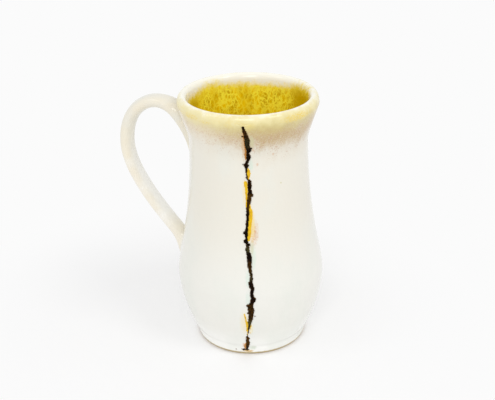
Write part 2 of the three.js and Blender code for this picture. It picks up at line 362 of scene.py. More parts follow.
@dataclass(frozen=True)
class CrackCourse:
    """The way the crack takes down the wall, as (height, place to the right, width), with its lumps.

    A lump is looked at only within lump_reach of a point, sideways and up.
    """

    turn: float = -71.0
    lump_reach: Pair = (4.0, 3.0)
    ragged: float = 0.42
    fine_ragged: float = 0.36
    path: tuple[Triple, ...] = (
        (2.9, -1.2, 1.0), (4.9, -1.0, 1.5), (9.1, -0.6, 1.8), (13.2, -0.6, 1.7), (15.2, -0.5, 0.4),
        (18.2, -0.1, 0.2), (21.2, 0.4, 1.1), (25.8, 1.1, 1.9), (30.0, 1.8, 2.5), (33.8, 1.8, 3.2),
        (36.6, 1.6, 2.8), (38.3, 2.3, 2.0), (40.4, 3.0, 2.3), (43.6, 2.4, 1.5), (46.3, 2.6, 2.2),
        (48.7, 1.9, 2.4), (52.6, 2.1, 1.1), (57.5, 1.5, 1.9), (60.1, 1.3, 2.3), (63.7, 1.2, 2.4),
        (67.4, 0.2, 1.9), (69.7, 0.5, 1.5), (71.4, -0.3, 1.9), (73.6, 0.0, 1.4), (76.2, -0.4, 1.7),
        (78.7, 0.3, 1.5), (84.2, 0.7, 1.5), (89.5, 0.7, 1.6), (93.4, 1.3, 2.4), (96.1, 1.9, 2.2),
        (99.3, 1.7, 1.9), (104.2, 1.7, 1.8), (105.4, 0.6, 0.8), (108.4, 0.3, 0.9), (110.6, 0.4, 1.2),
        (112.6, 0.2, 2.2), (114.6, 0.8, 1.1), (116.8, 1.5, 2.6), (118.9, 1.3, 1.3), (121.0, 1.7, 2.4),
        (123.4, 1.0, 2.6), (126.9, 1.0, 2.6), (129.3, 0.4, 2.0), (132.0, -0.1, 1.7), (134.0, -0.7, 1.3),
    )
    lumps: tuple[Lump, ...] = (
        Lump(-0.8, 134.5, 0.65, 0.6), Lump(-1.3, 129.1, 0.35, 0.4), Lump(2.8, 121.9, 0.75, 0.5),
        Lump(0.1, 112.6, 1.3, 0.9), Lump(3.0, 96.1, 0.5, 0.7), Lump(-0.9, 76.2, 0.8, 0.8),
        Lump(-0.9, 71.6, 0.8, 0.9), Lump(1.1, 69.7, 0.6, 0.8), Lump(3.2, 46.3, 0.6, 0.8),
        Lump(3.3, 40.4, 1.1, 1.5), Lump(0.4, 36.7, 0.8, 0.7), Lump(3.4, 33.4, 0.4, 0.5),
        Lump(0.2, 31.6, 0.4, 0.5), Lump(3.6, 29.6, 0.35, 0.3), Lump(-0.4, 16.2, 0.3, 0.35),
        Lump(0.1, 18.0, 0.25, 0.25), Lump(-0.6, 14.7, 0.25, 0.3), Lump(-2.4, 3.3, 1.9, 0.42),
        Lump(-4.1, 3.4, 0.6, 0.3),
    )

    @cached_property
    def columns(self) -> tuple[np.ndarray, np.ndarray, np.ndarray]:
        """The path's heights, places and widths, each as an array."""
        heights, places, widths = np.array(self.path).T
        return heights, places, widths

    def middle(self, height: float | np.ndarray) -> float | np.ndarray:
        """Place of the crack's middle at a height."""
        heights, places, _ = self.columns
        return np.interp(height, heights, places)

    def inside(self, side: float, height: float) -> float:
        """How far a point of the wall lies inside the slag's ragged edge.

        Args:
            side: millimetres to the right of the crack's turn.
            height: millimetres above the base.

        Returns:
            Millimetres from the edge, negative outside it.
        """
        heights, places, widths = self.columns
        half = np.interp(height, heights, widths) / 2
        past_end = max(heights[0] - height, height - heights[-1], 0.0)
        reach = half - abs(side - np.interp(height, heights, places)) - past_end
        near_side, near_height = self.lump_reach
        reach = max([reach, *(
            lump.inside(side, height) for lump in self.lumps
            if abs(height - lump.height) < near_height and abs(side - lump.side) < near_side)])
        coarse = cloud(side * 0.9, height * 0.8, 3.1)
        fine = cloud(side * 2.3, height * 2.1, 8.7)
        return float(reach + self.ragged * coarse + self.fine_ragged * fine)


@dataclass(frozen=True)
class WallPlaces:
    """Turns heights and ways along the crack's side of the wall into places in space."""

    wall: WallShape
    course: CrackCourse

    @property
    def ahead(self) -> Vector:
        """Level direction out through the crack."""
        turn = math.radians(self.course.turn)
        return Vector((math.cos(turn), math.sin(turn), 0))

    @property
    def right(self) -> Vector:
        """Level direction to the right along the wall, for who faces the crack."""
        return Vector((-self.ahead.y, self.ahead.x, 0))

    def at(self, side: float, height: float, out: float) -> Vector:
        """A place off the wall, in metres.

        Args:
            side: millimetres to the right of the crack's turn, along the wall.
            height: millimetres above the base.
            out: millimetres out from the wall, square to its slope.

        Returns:
            The place in the mug's frame.
        """
        radius = float(self.wall.outer(height))
        square = Vector((1, -self.wall.slope(height))).normalized() * out
        turn = math.radians(self.course.turn) + side / radius
        reach = radius + square.x
        return Vector((reach * math.cos(turn), reach * math.sin(turn), height + square.y)) * MM


@dataclass(frozen=True)
class HandleShape:
    """The pulled handle's middle line and its oval section."""

    wall: WallShape
    thickness: float = 7.3
    width: float = 10.5
    root_drop: float = 29.5
    root_angle: float = 62.0
    root_pull: float = 3.0
    arch_reach: float = 20.8
    arch_drop: float = 10.2
    arch_pull_in: float = 15.3
    arch_pull_out: float = 7.2
    grip_reach: float = 41.1
    grip_drop: float = 36.8
    grip_pull_up: float = 20.0
    grip_pull_down: float = 17.5
    elbow_off_wall: float = 9.6
    elbow_height: float = 57.6
    elbow_angle: float = 48.0
    elbow_pull: float = 8.0
    tail_height: float = 42.5
    tail_pull: float = 8.0
    root_swell: float = 0.3
    root_swell_length: float = 9.0
    root_swell_middle: float = -4.0
    steps: int = 30
    root_gap: float = 6.4
    tail_gap: float = 5.2

    @cached_property
    def line(self) -> np.ndarray:
        """The middle line.

        Returns:
            Closely spaced rows of reach from the axis and height.
        """
        wall = self.wall
        root_height = wall.height - self.root_drop
        root = (float(wall.outer(root_height)) - wall.wall / 3, root_height)
        arch = (wall.waist_radius + self.arch_reach, wall.height - self.arch_drop)
        grip = (wall.waist_radius + self.grip_reach, wall.height - self.grip_drop)
        elbow = (float(wall.outer(self.elbow_height)) + self.elbow_off_wall, self.elbow_height)
        tail = (float(wall.outer(self.tail_height)), self.tail_height)
        root_pull = polar(self.root_pull, self.root_angle)
        bend = polar(self.elbow_pull, self.elbow_angle)
        stretches = [
            [root, (root[0] + root_pull[0], root[1] + root_pull[1]),
             (arch[0] - self.arch_pull_in, arch[1]), arch],
            [arch, (arch[0] + self.arch_pull_out, arch[1]),
             (grip[0], grip[1] + self.grip_pull_up), grip],
            [grip, (grip[0], grip[1] - self.grip_pull_down),
             (elbow[0] + bend[0], elbow[1] + bend[1]), elbow],
            [elbow, (elbow[0] - bend[0], elbow[1] - bend[1]),
             (tail[0], tail[1] + self.tail_pull), tail],
        ]
        return np.array([point for stretch in stretches for point in bezier(stretch, 80)[:-1]])

    def stations(self) -> list[tuple[np.ndarray, float, float]]:
        """Evenly spaced places along the free part of the handle.

        Returns:
            For each place its (reach, height), the way's slant in degrees, and the swell there.
        """
        line = self.line
        off_wall = line[:, 0] - self.wall.outer(line[:, 1])
        middle = len(line) // 2
        first = int(np.argmax(off_wall > self.root_gap))
        last = middle + int(np.argmax(off_wall[middle:] < self.tail_gap))
        steps = np.hypot(*np.diff(line, axis=0).T)
        way = np.concatenate([[0], np.cumsum(steps)])

        def along(share: float) -> np.ndarray:
            """The place at a distance along the line."""
            return np.array([np.interp(share, way, column) for column in line.T])

        places = []
        for share in np.linspace(way[first], way[last], self.steps):
            slant = math.degrees(math.atan2(*(along(share + 1) - along(share - 1))[::-1]))
            swell = bell(share - way[first], self.root_swell_middle, self.root_swell_length)
            places.append((along(share), slant, 1 + self.root_swell * swell))
        return places


@dataclass
class MugBody:
    """The thrown body with its handle: one closed skin, dressed in glaze, liner and bare clay."""

    wall: WallShape
    course: CrackCourse
    columns: int = 56
    base_rings: tuple[float, ...] = (8.0, 18.0, 25.0, 28.2)
    floor_rings: Pair = (0.75, 0.3)
    bands: tuple[tuple[float, float, int], ...] = (
        (0.6, 5.0, 2), (5.0, 31.0, 7), (31.0, 52.0, 5), (52.0, 100.0, 9), (100.0, 118.0, 5),
        (118.0, 135.8, 5),
    )
    lip_steps: int = 4
    inner_steps: int = 15
    corner_steps: int = 4
    handle_sides: int = 18
    joint_half_turn: float = 12.9
    root_joint: Pair = (100.0, 118.0)
    tail_joint: Pair = (31.0, 52.0)
    joint_cuts: int = 2
    joint_smoothness: float = 0.6
    ring_height: float = 0.05
    ring_turns: float = 1.21
    ring_climb: float = 2.4
    ring_start: Pair = (9.0, 16.0)
    ring_patches: Pair = (21.0, 9.0)
    glaze_line: float = 6.0
    glaze_line_depth: float = 0.16
    glaze_line_width: float = 0.9
    split_depth: float = 1.0
    split_edge: Pair = (-0.12, 0.5)
    split_shoulder: float = 0.14
    shoulder_place: Pair = (-0.6, 0.38)
    crack_reach: Pair = (4.4, 3.0)
    crack_heights: Pair = (0.8, 137.5)
    front: float = 20.0
    lip_way: float = 5.6
    far_from_rim: float = 60.0
    wall_share: Pair = (0.3, 1.0)
    wall_mark: float = 0.6
    liner_depth: float = 5.0
    clay_height: float = 0.75
    finishes: list[Material] = field(default_factory=list)

    def rings(self) -> Profile:
        """Lists the rings that the body is thrown through.

        Returns:
            Radius and height of each, from the base up the outside, over the lip and down inside.
        """
        wall = self.wall
        outside = [
            (float(wall.outer(height)), height)
            for low, high, steps in self.bands
            for height in np.linspace(low, high, steps + 1)[:-1]
        ]
        inside_heights = np.linspace(wall.lip_height, wall.floor + wall.floor_corner, self.inner_steps + 1)
        corner = [math.radians(90 * step / self.corner_steps) for step in range(1, self.corner_steps + 1)]
        corner_heights = [wall.floor + wall.floor_corner * (1 - math.sin(turn)) for turn in corner]
        floor_radius = wall.inner(wall.floor)
        edge = wall.base_radius - wall.base_edge
        return [
            *[(radius, 0.0) for radius in (*self.base_rings, edge)],
            *outside,
            (wall.lip_radius, wall.lip_height),
            *wall.lip_arc(0, 90, self.lip_steps),
            *wall.lip_arc(90, 180, self.lip_steps),
            *[(wall.inner(height), height) for height in inside_heights[1:]],
            *[(wall.inner(height), height) for height in corner_heights],
            *[(floor_radius * share, wall.floor) for share in self.floor_rings],
        ]

    def throw(self) -> Piece:
        """Draws the body up from a circle on the wheel, ring by ring, and closes both ends.

        Returns:
            The body, still coarse and without its handle.
        """
        rings = self.rings()
        bpy.ops.object.select_all(action="DESELECT")
        bpy.ops.mesh.primitive_circle_add(vertices=self.columns, radius=rings[0][0] * MM)
        body = bpy.context.object
        with editing(body, "EDGE"):
            bpy.ops.mesh.select_all(action="SELECT")
            bpy.ops.mesh.edge_face_add()
            pick_open_edges(body, lambda middle: True)
            for (radius, height), (next_radius, next_height) in zip(rings, rings[1:]):
                grow = next_radius / radius
                bpy.ops.mesh.extrude_edges_move(
                    TRANSFORM_OT_translate={"value": (0, 0, (next_height - height) * MM)})
                bpy.ops.transform.resize(value=(grow, grow, 1), center_override=(0, 0, next_height * MM))
            bpy.ops.mesh.edge_face_add()
        return body

    def is_outside(self, middle: Vector) -> bool:
        """Tells whether a place is clear of the hollow, on the wall's outer face."""
        return middle.xy.length > self.wall.inner(middle.z) + 1

    def open_joint(self, body: Piece, heights: Pair) -> None:
        """Takes a patch out of the wall, on the handle's side.

        Args:
            body: the thrown body.
            heights: the lower and the upper edge of the patch.
        """
        half = math.radians(self.joint_half_turn)

        def on_joint(middle: Vector) -> bool:
            """Tells whether a face lies in the patch."""
            turned = abs(math.atan2(middle.y, -middle.x)) < half
            return self.is_outside(middle) and turned and heights[0] < middle.z < heights[1]

        with editing(body):
            pick_faces(body, on_joint)
            bpy.ops.mesh.delete(type="FACE")

    def pull_handle(self) -> Piece:
        """Pulls the handle as a tube of oval rings, open at both ends.

        Returns:
            The handle, not yet joined to the wall.
        """
        shape = HandleShape(self.wall)
        stations = shape.stations()
        bpy.ops.object.select_all(action="DESELECT")
        bpy.ops.mesh.primitive_circle_add(vertices=self.handle_sides, radius=MM)
        handle = bpy.context.object
        (reach, height), slant, swell = stations[0]
        with editing(handle, "EDGE"):
            bpy.ops.mesh.select_all(action="SELECT")
            bpy.ops.transform.resize(value=(shape.thickness / 2, shape.width / 2, 1))
            self.turn_ring(90 - slant, (0, 0, 0))
            centre = (-reach * MM, 0, height * MM)
            bpy.ops.transform.translate(value=centre)
            bpy.ops.transform.resize(value=(swell,) * 3, center_override=centre)
            for place, next_slant, next_swell in stations[1:]:
                step = (-(place[0] - reach) * MM, 0, (place[1] - height) * MM)
                (reach, height), centre = place, (-place[0] * MM, 0, place[1] * MM)
                grow = next_swell / swell
                bpy.ops.mesh.extrude_edges_move(TRANSFORM_OT_translate={"value": step})
                bpy.ops.transform.resize(value=(grow,) * 3, center_override=centre)
                self.turn_ring(slant - next_slant, centre)
                slant, swell = next_slant, next_swell
        return handle

    @staticmethod
    def turn_ring(degrees: float, centre: Triple) -> None:
        """Tips the selected ring about the level line across the handle."""
        bpy.ops.transform.rotate(
            value=math.radians(degrees), orient_axis="Y", orient_type="GLOBAL", center_override=centre)

    def join_handle(self, body: Piece, handle: Piece) -> None:
        """Joins the handle to the two openings in the wall, with clay drawn smoothly between.

        Args:
            body: the thrown body, with its two openings.
            handle: the handle, which becomes part of the body.
        """
        waist = (self.root_joint[0] + self.tail_joint[1]) / 2
        select_only(handle, body)
        bpy.ops.object.join()
        for upper in (True, False):
            with editing(body, "EDGE"):
                pick_open_edges(body, lambda middle: (middle.z > waist) == upper)
                bpy.ops.mesh.bridge_edge_loops(
                    type="SINGLE", number_cuts=self.joint_cuts, interpolation="SURFACE",
                    smoothness=self.joint_smoothness)
        with editing(body):
            bpy.ops.mesh.select_all(action="SELECT")
            bpy.ops.mesh.normals_make_consistent(inside=False)

    def mark_wall(self, body: Piece) -> None:
        """Marks the vertices of the wall with 1, but for those round the handle's openings.

        Args:
            body: the body, with its openings and without its handle.
        """
        mesh = bmesh.new()
        mesh.from_mesh(body.data)
        marks = [0.0 if any(edge.is_boundary for edge in vert.link_edges) else 1.0 for vert in mesh.verts]
        mesh.free()
        write_values(body, "on_wall", np.array(marks))

    @staticmethod
    def settle(body: Piece) -> None:
        """Lists the faces in a fixed order, since the extrusions leave them in another one each run.

        Args:
            body: the coarse body with its handle.
        """
        marks = read_values(body, "on_wall")
        points = [vert.co.copy() for vert in body.data.vertices]
        faces = sorted(tuple(face.vertices) for face in body.data.polygons)
        body.data.clear_geometry()
        body.data.from_pydata(points, [], faces)
        body.data.update()
        write_values(body, "on_wall", marks)

    def cut_finer(self, body: Piece) -> None:
        """Cuts the faces along the crack finer, in two goes, each nearer to it.

        Args:
            body: the smooth body.
        """
        places = WallPlaces(self.wall, self.course)
        low, high = self.crack_heights
        for reach in self.crack_reach:
            def beside(middle: Vector) -> bool:
                """Tells whether a face lies beside the crack, on the outer wall.

                Args:
                    middle: the middle of the face, in millimetres.

                Returns:
                    Whether the face is to be cut.
                """
                ahead = middle.dot(places.ahead) >= self.front
                if not (ahead and low < middle.z < high and self.is_outside(middle)):
                    return False
                radius = middle.xy.length
                side = radius * math.asin(middle.dot(places.right) / radius)
                return abs(side - self.course.middle(middle.z)) < reach
            with editing(body):
                pick_faces(body, beside)
                bpy.ops.mesh.subdivide(number_cuts=1, smoothness=0)

    def relief(self, turn: float, height: float) -> float:
        """How far the outer face stands off its plain outline.

        Args:
            turn: angle about the axis, in radians, from +X.
            height: millimetres above the base.

        Returns:
            Millimetres outwards: the thrower's rings, the glaze line and the split.
        """
        spiral = height + self.ring_climb * turn / math.pi
        large, small = self.ring_patches
        ahead, aside = math.cos(turn), math.sin(turn)
        rings = math.sin(spiral * self.ring_turns) * cloud(ahead, aside, height / large)
        rings += 0.6 * cloud(2 * ahead, 2 * aside, height / small)
        radius = float(self.wall.outer(height))
        out = self.ring_height * rings * ease(height, *self.ring_start)
        out = min(out, self.wall.belly_radius - radius)
        out -= self.glaze_line_depth * bell(height, self.glaze_line, self.glaze_line_width)
        side = radius * math.remainder(turn - math.radians(self.course.turn), 2 * math.pi)
        if abs(side - self.course.middle(height)) < self.crack_reach[0] + 1:
            inside = self.course.inside(side, height)
            out -= self.split_depth * ease(inside, *self.split_edge)
            out += self.split_shoulder * bell(inside, *self.shoulder_place)
        return out

    def skin(self, body: Piece) -> tuple[np.ndarray, np.ndarray, np.ndarray, np.ndarray]:
        """Reads where each vertex lies in the skin.

        Args:
            body: the body to read.

        Returns:
            The points, their radii, how far they lie past the middle of the wall, and their marks.
        """
        points = read_points(body)
        radii = np.hypot(points[:, 0], points[:, 1])
        inner = np.array([self.wall.inner(height) for height in points[:, 2]])
        return points, radii, radii - inner - self.wall.wall / 2, read_values(body, "on_wall")

    def shape_wall(self, body: Piece) -> None:
        """Brings the outer face back to its exact outline and gives it its relief.

        Args:
            body: the smooth body, cut finer along the crack.
        """
        points, radii, past_middle, marks = self.skin(body)
        wall = self.wall
        upright = (points[:, 2] > wall.base_edge) & (points[:, 2] < wall.lip_height)
        for index in np.nonzero((past_middle > 0) & upright & (marks > 0))[0]:
            x, y, height = points[index]
            target = float(wall.outer(height)) + self.relief(math.atan2(y, x), height)
            share = ease(float(marks[index]), *self.wall_share)
            radius = radii[index] + (target - radii[index]) * share
            points[index, :2] *= radius / radii[index]
        write_points(body, points)

    def mark_rim(self, body: Piece) -> None:
        """Stores how far each vertex is from the top of the rim, along the skin, negative inside.

        How far it stands off the wall, which is more than 0 on the handle only, is stored as well.

        Args:
            body: the body in its final shape.
        """
        points, radii, past_middle, marks = self.skin(body)
        wall, lip_way = self.wall, self.lip_way
        profile = wall.line[::-1]
        ways = np.concatenate([[0], np.cumsum(np.hypot(*np.diff(profile, axis=0).T))])
        down = np.interp(points[:, 2], profile[::-1, 1], ways[::-1]) + lip_way
        turn = np.arctan2((points[:, 2] - wall.lip_height) / wall.lip_round,
                          (radii - wall.lip_middle) / (wall.lip_width / 2))
        over_lip = lip_way * (1 - turn / (math.pi / 2))
        inside = past_middle < 0
        from_rim = np.where(inside, -(wall.lip_height - points[:, 2] + lip_way), down)
        from_rim = np.where(points[:, 2] > wall.lip_height, over_lip, from_rim)
        from_rim = np.where(marks < self.wall_mark, self.far_from_rim, from_rim)
        write_values(body, "from_rim", from_rim)
        write_values(body, "off_wall", np.where(inside, 0.0, radii - wall.outer(points[:, 2])))

    def dress(self, body: Piece) -> None:
        """Gives each face its finish: liner deep inside, bare clay underneath, glaze elsewhere.

        Args:
            body: the body, with its distances from the rim stored.
        """
        for finish in self.finishes:
            body.data.materials.append(finish)
        from_rim = read_values(body, "from_rim")
        floor = self.wall.floor
        for face in body.data.polygons:
            height = face.center.z / MM
            deepest = max(from_rim[index] for index in face.vertices)
            if height < self.clay_height:
                face.material_index = 2
            elif deepest < -self.liner_depth or (height < floor + 1 and deepest < 0):
                face.material_index = 1

    def build(self) -> Piece:
        """Throws, joins and dresses the mug.

        Returns:
            The finished body, standing for the one node of the model.
        """
        body = self.throw()
        body.name = body.data.name = "mug_body"
        self.open_joint(body, self.root_joint)
        self.open_joint(body, self.tail_joint)
        self.mark_wall(body)
        self.join_handle(body, self.pull_handle())
        self.settle(body)
        apply_modifier(body, "SUBSURF", levels=2, render_levels=2)
        self.cut_finer(body)
        self.shape_wall(body)
        self.mark_rim(body)
        self.dress(body)
        bpy.ops.object.shade_smooth()
        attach(body, "root")
        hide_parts("mug")
        return body


@dataclass
class WallStrip:
    """A thin crust that lies on the wall, with its edges sunk out of sight."""

    places: WallPlaces
    name: str
    slot: str
    finish: Material
    heights: Pair
    sides: Pair
    cell: float = 0.26
    hidden: float = -0.32
    thickness: float = 0.6
    sink_slope: float = 3.0
    sink_depth: float = -1.0

    def inside(self, side: float, height: float) -> float:
        """How far a point lies inside the crust's edge, negative outside it."""
        raise NotImplementedError

    def crust(self, inside: float, side: float, height: float) -> float:
        """How far the crust stands off the wall at a point inside its edge."""
        raise NotImplementedError

    def rise(self, inside: float, side: float, height: float) -> float:
        """How far the crust stands off the wall at any point, sinking steeply past its edge.

        Args:
            inside: how far the point lies inside the crust's edge.
            side: millimetres to the right of the crack's turn.
            height: millimetres above the base.

        Returns:
            Millimetres off the wall, negative where it is sunk.
        """
        if inside < 0:
            return max(self.sink_slope * inside, self.sink_depth)
        return self.crust(inside, side, height)

    def middle(self, height: float) -> float:
        """Place of the strip's middle at a height."""
        return 0.0

    def mark(self, piece: Piece, sides: np.ndarray, heights: np.ndarray) -> None:
        """Stores what the finish needs to know about each vertex."""

    def build(self) -> Piece:
        """Lays a fine grid on the wall, raises it, drops what is hidden and gives it thickness.

        Returns:
            The finished crust, riding on the mug.
        """
        low, high = self.heights
        left, right = self.sides
        rows = round((high - low) / self.cell)
        columns = round((right - left) / self.cell)
        bpy.ops.object.select_all(action="DESELECT")
        bpy.ops.mesh.primitive_grid_add(x_subdivisions=columns, y_subdivisions=rows, size=MM)
        piece = bpy.context.object
        piece.name = piece.data.name = self.name
        grid = read_points(piece)
        heights = low + (grid[:, 1] + 0.5) * (high - low)
        sides = left + (grid[:, 0] + 0.5) * (right - left)
        sides += np.array([self.middle(height) for height in heights])
        depths = np.array([self.inside(side, height) for side, height in zip(sides, heights)])
        points = [
            self.places.at(side, height, self.rise(depth, side, height)) / MM
            for side, height, depth in zip(sides, heights, depths)
        ]
        write_points(piece, np.array(points))
        write_values(piece, "inside", depths)
        self.mark(piece, sides, heights)
        with editing(piece, "VERT"):
            mesh = bmesh.from_edit_mesh(piece.data)
            layer = mesh.verts.layers.float["inside"]
            for face in mesh.faces:
                face.select_set(all(vert[layer] < self.hidden for vert in face.verts))
            bmesh.update_edit_mesh(piece.data)
            bpy.ops.mesh.select_mode(type="FACE")
            bpy.ops.mesh.delete(type="FACE")
        apply_modifier(piece, "SOLIDIFY", thickness=self.thickness * MM, offset=-1)
        piece.data.materials.append(self.finish)
        bpy.ops.object.shade_smooth()
        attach(piece, "root")
        return piece


class Tone(Enum):
    """Colours that the slag takes where it isn't black."""

    BROWN = "brown"
    OLIVE = "olive"


@dataclass(frozen=True)
class TonedSpan:
    """A stretch of the crack where the slag leans to a colour."""

    tone: Tone
    low: float
    high: float
    strength: float

    def window(self, height: float) -> float:
        """How far a height is within the stretch, from 0 to 1, with soft ends."""
        start = ease(height, self.low - 1, self.low + 1)
        return start * (1 - ease(height, self.high - 1, self.high + 1))


@dataclass
class SlagCrust(WallStrip):
    """The black crust of slag that melted in the crack, lumpy and ragged."""

    crown: float = 0.62
    shoulder: float = 0.3
    lumpy: float = 0.34
    grainy: float = 0.16
    spans: tuple[TonedSpan, ...] = (
        TonedSpan(Tone.OLIVE, 122.6, 128.2, 0.4),
        TonedSpan(Tone.BROWN, 128.5, 133.5, 0.4),
        TonedSpan(Tone.BROWN, 104.5, 109.5, 0.6),
        TonedSpan(Tone.BROWN, 88.5, 97.0, 1.0),
        TonedSpan(Tone.OLIVE, 66.0, 69.0, 0.8),
        TonedSpan(Tone.BROWN, 52.5, 61.0, 0.6),
        TonedSpan(Tone.OLIVE, 50.5, 56.0, 0.5),
        TonedSpan(Tone.BROWN, 27.5, 38.0, 0.6),
        TonedSpan(Tone.OLIVE, 19.0, 27.5, 0.8),
        TonedSpan(Tone.BROWN, 7.0, 14.5, 1.0),
    )

    def middle(self, height: float) -> float:
        """Place of the crack's middle at a height."""
        return float(self.places.course.middle(height))

    def inside(self, side: float, height: float) -> float:
        """How far a point lies inside the slag's ragged edge."""
        return self.places.course.inside(side, height)

    def crust(self, inside: float, side: float, height: float) -> float:
        """Height of the lumpy crust over the wall.

        Args:
            inside: how far the point lies inside the crust's edge.
            side: millimetres to the right of the crack's turn.
            height: millimetres above the base.

        Returns:
            Millimetres off the wall.
        """
        lumps = cloud(side * 0.8, height * 0.75, 5.3)
        grains = cloud(side * 2.6, height * 2.6, 1.9)
        crust = self.crown * (1 - math.exp(-inside / self.shoulder))
        crust *= 1 + self.lumpy * 2 * lumps
        return crust + self.grainy * grains * ease(inside, 0, self.shoulder)

    def mark(self, piece: Piece, sides: np.ndarray, heights: np.ndarray) -> None:
        """Stores how brown and how olive the slag is at each vertex.

        Args:
            piece: the crust.
            sides: the place of each vertex to the right of the crack's turn.
            heights: the height of each vertex.
        """
        for tone in Tone:
            amount = np.zeros(len(heights))
            for span in (span for span in self.spans if span.tone is tone):
                window = [span.window(height) for height in heights]
                amount = np.maximum(amount, span.strength * np.array(window))
            write_values(piece, tone.value, amount)


@dataclass(frozen=True)
class GlazeRun:
    """A run of pooled glaze, as (height, place to the right, width), and how burnt its colour is."""

    path: tuple[Triple, ...]
    burnt: float = 0.0

    def inside(self, side: float, height: float) -> float:
        """How far a point lies inside the run's edge.

        Args:
            side: millimetres to the right of the crack's turn.
            height: millimetres above the base.

        Returns:
            Millimetres from the edge, negative outside it.
        """
        best = -9.0
        for first, last in zip(self.path, self.path[1:]):
            (start_height, start, start_width), (end_height, end, end_width) = first, last
            along = Vector((end - start, end_height - start_height))
            share = (Vector((side - start, height - start_height)) @ along) / along.length_squared
            share = min(max(share, 0.0), 1.0)
            half = (start_width + (end_width - start_width) * share) / 2
            away = math.hypot(side - start - along.x * share, height - start_height - along.y * share)
            best = max(best, half - away)
        return best


@dataclass
class AmberPools(WallStrip):
    """The amber glaze that pooled along both edges of the crack."""

    sink_slope: float = 1.6
    sink_depth: float = -0.8
    bead: float = 0.34
    bead_width: float = 0.8
    uneven: float = 0.3
    wavy: float = 0.3
    crumbly: float = 0.3
    runs: tuple[GlazeRun, ...] = (
        GlazeRun(((110.6, 1.3, 1.1), (108.6, 1.4, 1.8), (106.6, 1.4, 1.7), (104.6, 1.2, 0.9))),
        GlazeRun(((103.4, -0.2, 1.8), (101.0, -0.1, 1.7), (97.0, 0.2, 1.3), (93.9, 0.1, 1.1),
                  (90.1, 0.0, 0.8))),
        GlazeRun(((91.8, 1.4, 1.3), (89.0, 1.9, 1.7), (87.4, 2.3, 2.2), (83.1, 1.9, 2.1),
                  (78.8, 1.5, 2.0), (75.0, 1.3, 2.0), (72.4, 1.0, 1.3))),
        GlazeRun(((31.2, -1.7, 0.6), (27.8, -1.0, 1.1), (23.9, -0.5, 1.4), (19.7, -0.4, 1.2),
                  (16.4, -0.4, 0.7))),
        GlazeRun(((24.6, 1.9, 0.5), (21.8, 1.3, 0.7), (20.2, 1.1, 0.5))),
        GlazeRun(((18.4, 0.5, 0.5), (17.6, 0.9, 0.6))),
        GlazeRun(((131.0, -1.0, 0.5), (126.0, -0.4, 0.5), (121.5, 0.0, 0.9), (116.0, -0.1, 0.9),
                  (115.0, 0.0, 0.5)), 1.0),
        GlazeRun(((9.2, -1.8, 0.8), (6.8, -1.9, 1.6), (4.7, -1.9, 1.5)), 1.0),
    )

    def inside(self, side: float, height: float) -> float:
        """How far a point lies inside the edge of the nearest run."""
        ragged = self.wavy * cloud(side * 0.9, height * 0.7, 6.4)
        ragged += self.crumbly * cloud(side * 2.2, height * 2.0, 2.8)
        return max(run.inside(side, height) for run in self.runs) + ragged

    def crust(self, inside: float, side: float, height: float) -> float:
        """Height of the rounded bead of glaze over the wall."""
        rounded = math.sqrt(min(inside / self.bead_width, 1))
        return self.bead * rounded * (1 + self.uneven * cloud(0, height, side))

    def mark(self, piece: Piece, sides: np.ndarray, heights: np.ndarray) -> None:
        """Stores how burnt the amber is at each vertex.

        Args:
            piece: the layer of amber.
            sides: the place of each vertex to the right of the crack's turn.
            heights: the height of each vertex.
        """
        burnt = [
            max(self.runs, key=lambda run: run.inside(side, height)).burnt
            for side, height in zip(sides, heights)
        ]
        write_values(piece, "burnt", np.array(burnt))


@dataclass(frozen=True)
class Flow:
    """What comes out of a node, ready for arithmetic with numbers and with other flows."""

    sheet: "NodeSheet"
    socket: bpy.types.NodeSocket

    def __add__(self, other: object) -> "Flow":
        """The sum."""
        return self.sheet.maths("ADD", self, other)

    def __sub__(self, other: object) -> "Flow":
        """The difference."""
        return self.sheet.maths("SUBTRACT", self, other)

    def __rsub__(self, other: object) -> "Flow":
        """What is left of a plain number."""
        return self.sheet.maths("SUBTRACT", other, self)

    def __mul__(self, other: object) -> "Flow":
        """The product."""
        return self.sheet.maths("MULTIPLY", self, other)

    def __truediv__(self, other: object) -> "Flow":
        """The quotient."""
        return self.sheet.maths("DIVIDE", self, other)

    def __or__(self, other: object) -> "Flow":
        """The larger of the two."""
        return self.sheet.maths("MAXIMUM", self, other)

    def __abs__(self) -> "Flow":
        """The size without the sign."""
        return self.sheet.maths("ABSOLUTE", self)

    def clamped(self) -> "Flow":
        """The same, kept between 0 and 1."""
        return self.sheet.flow("Clamp", "Result", {"Value": self})


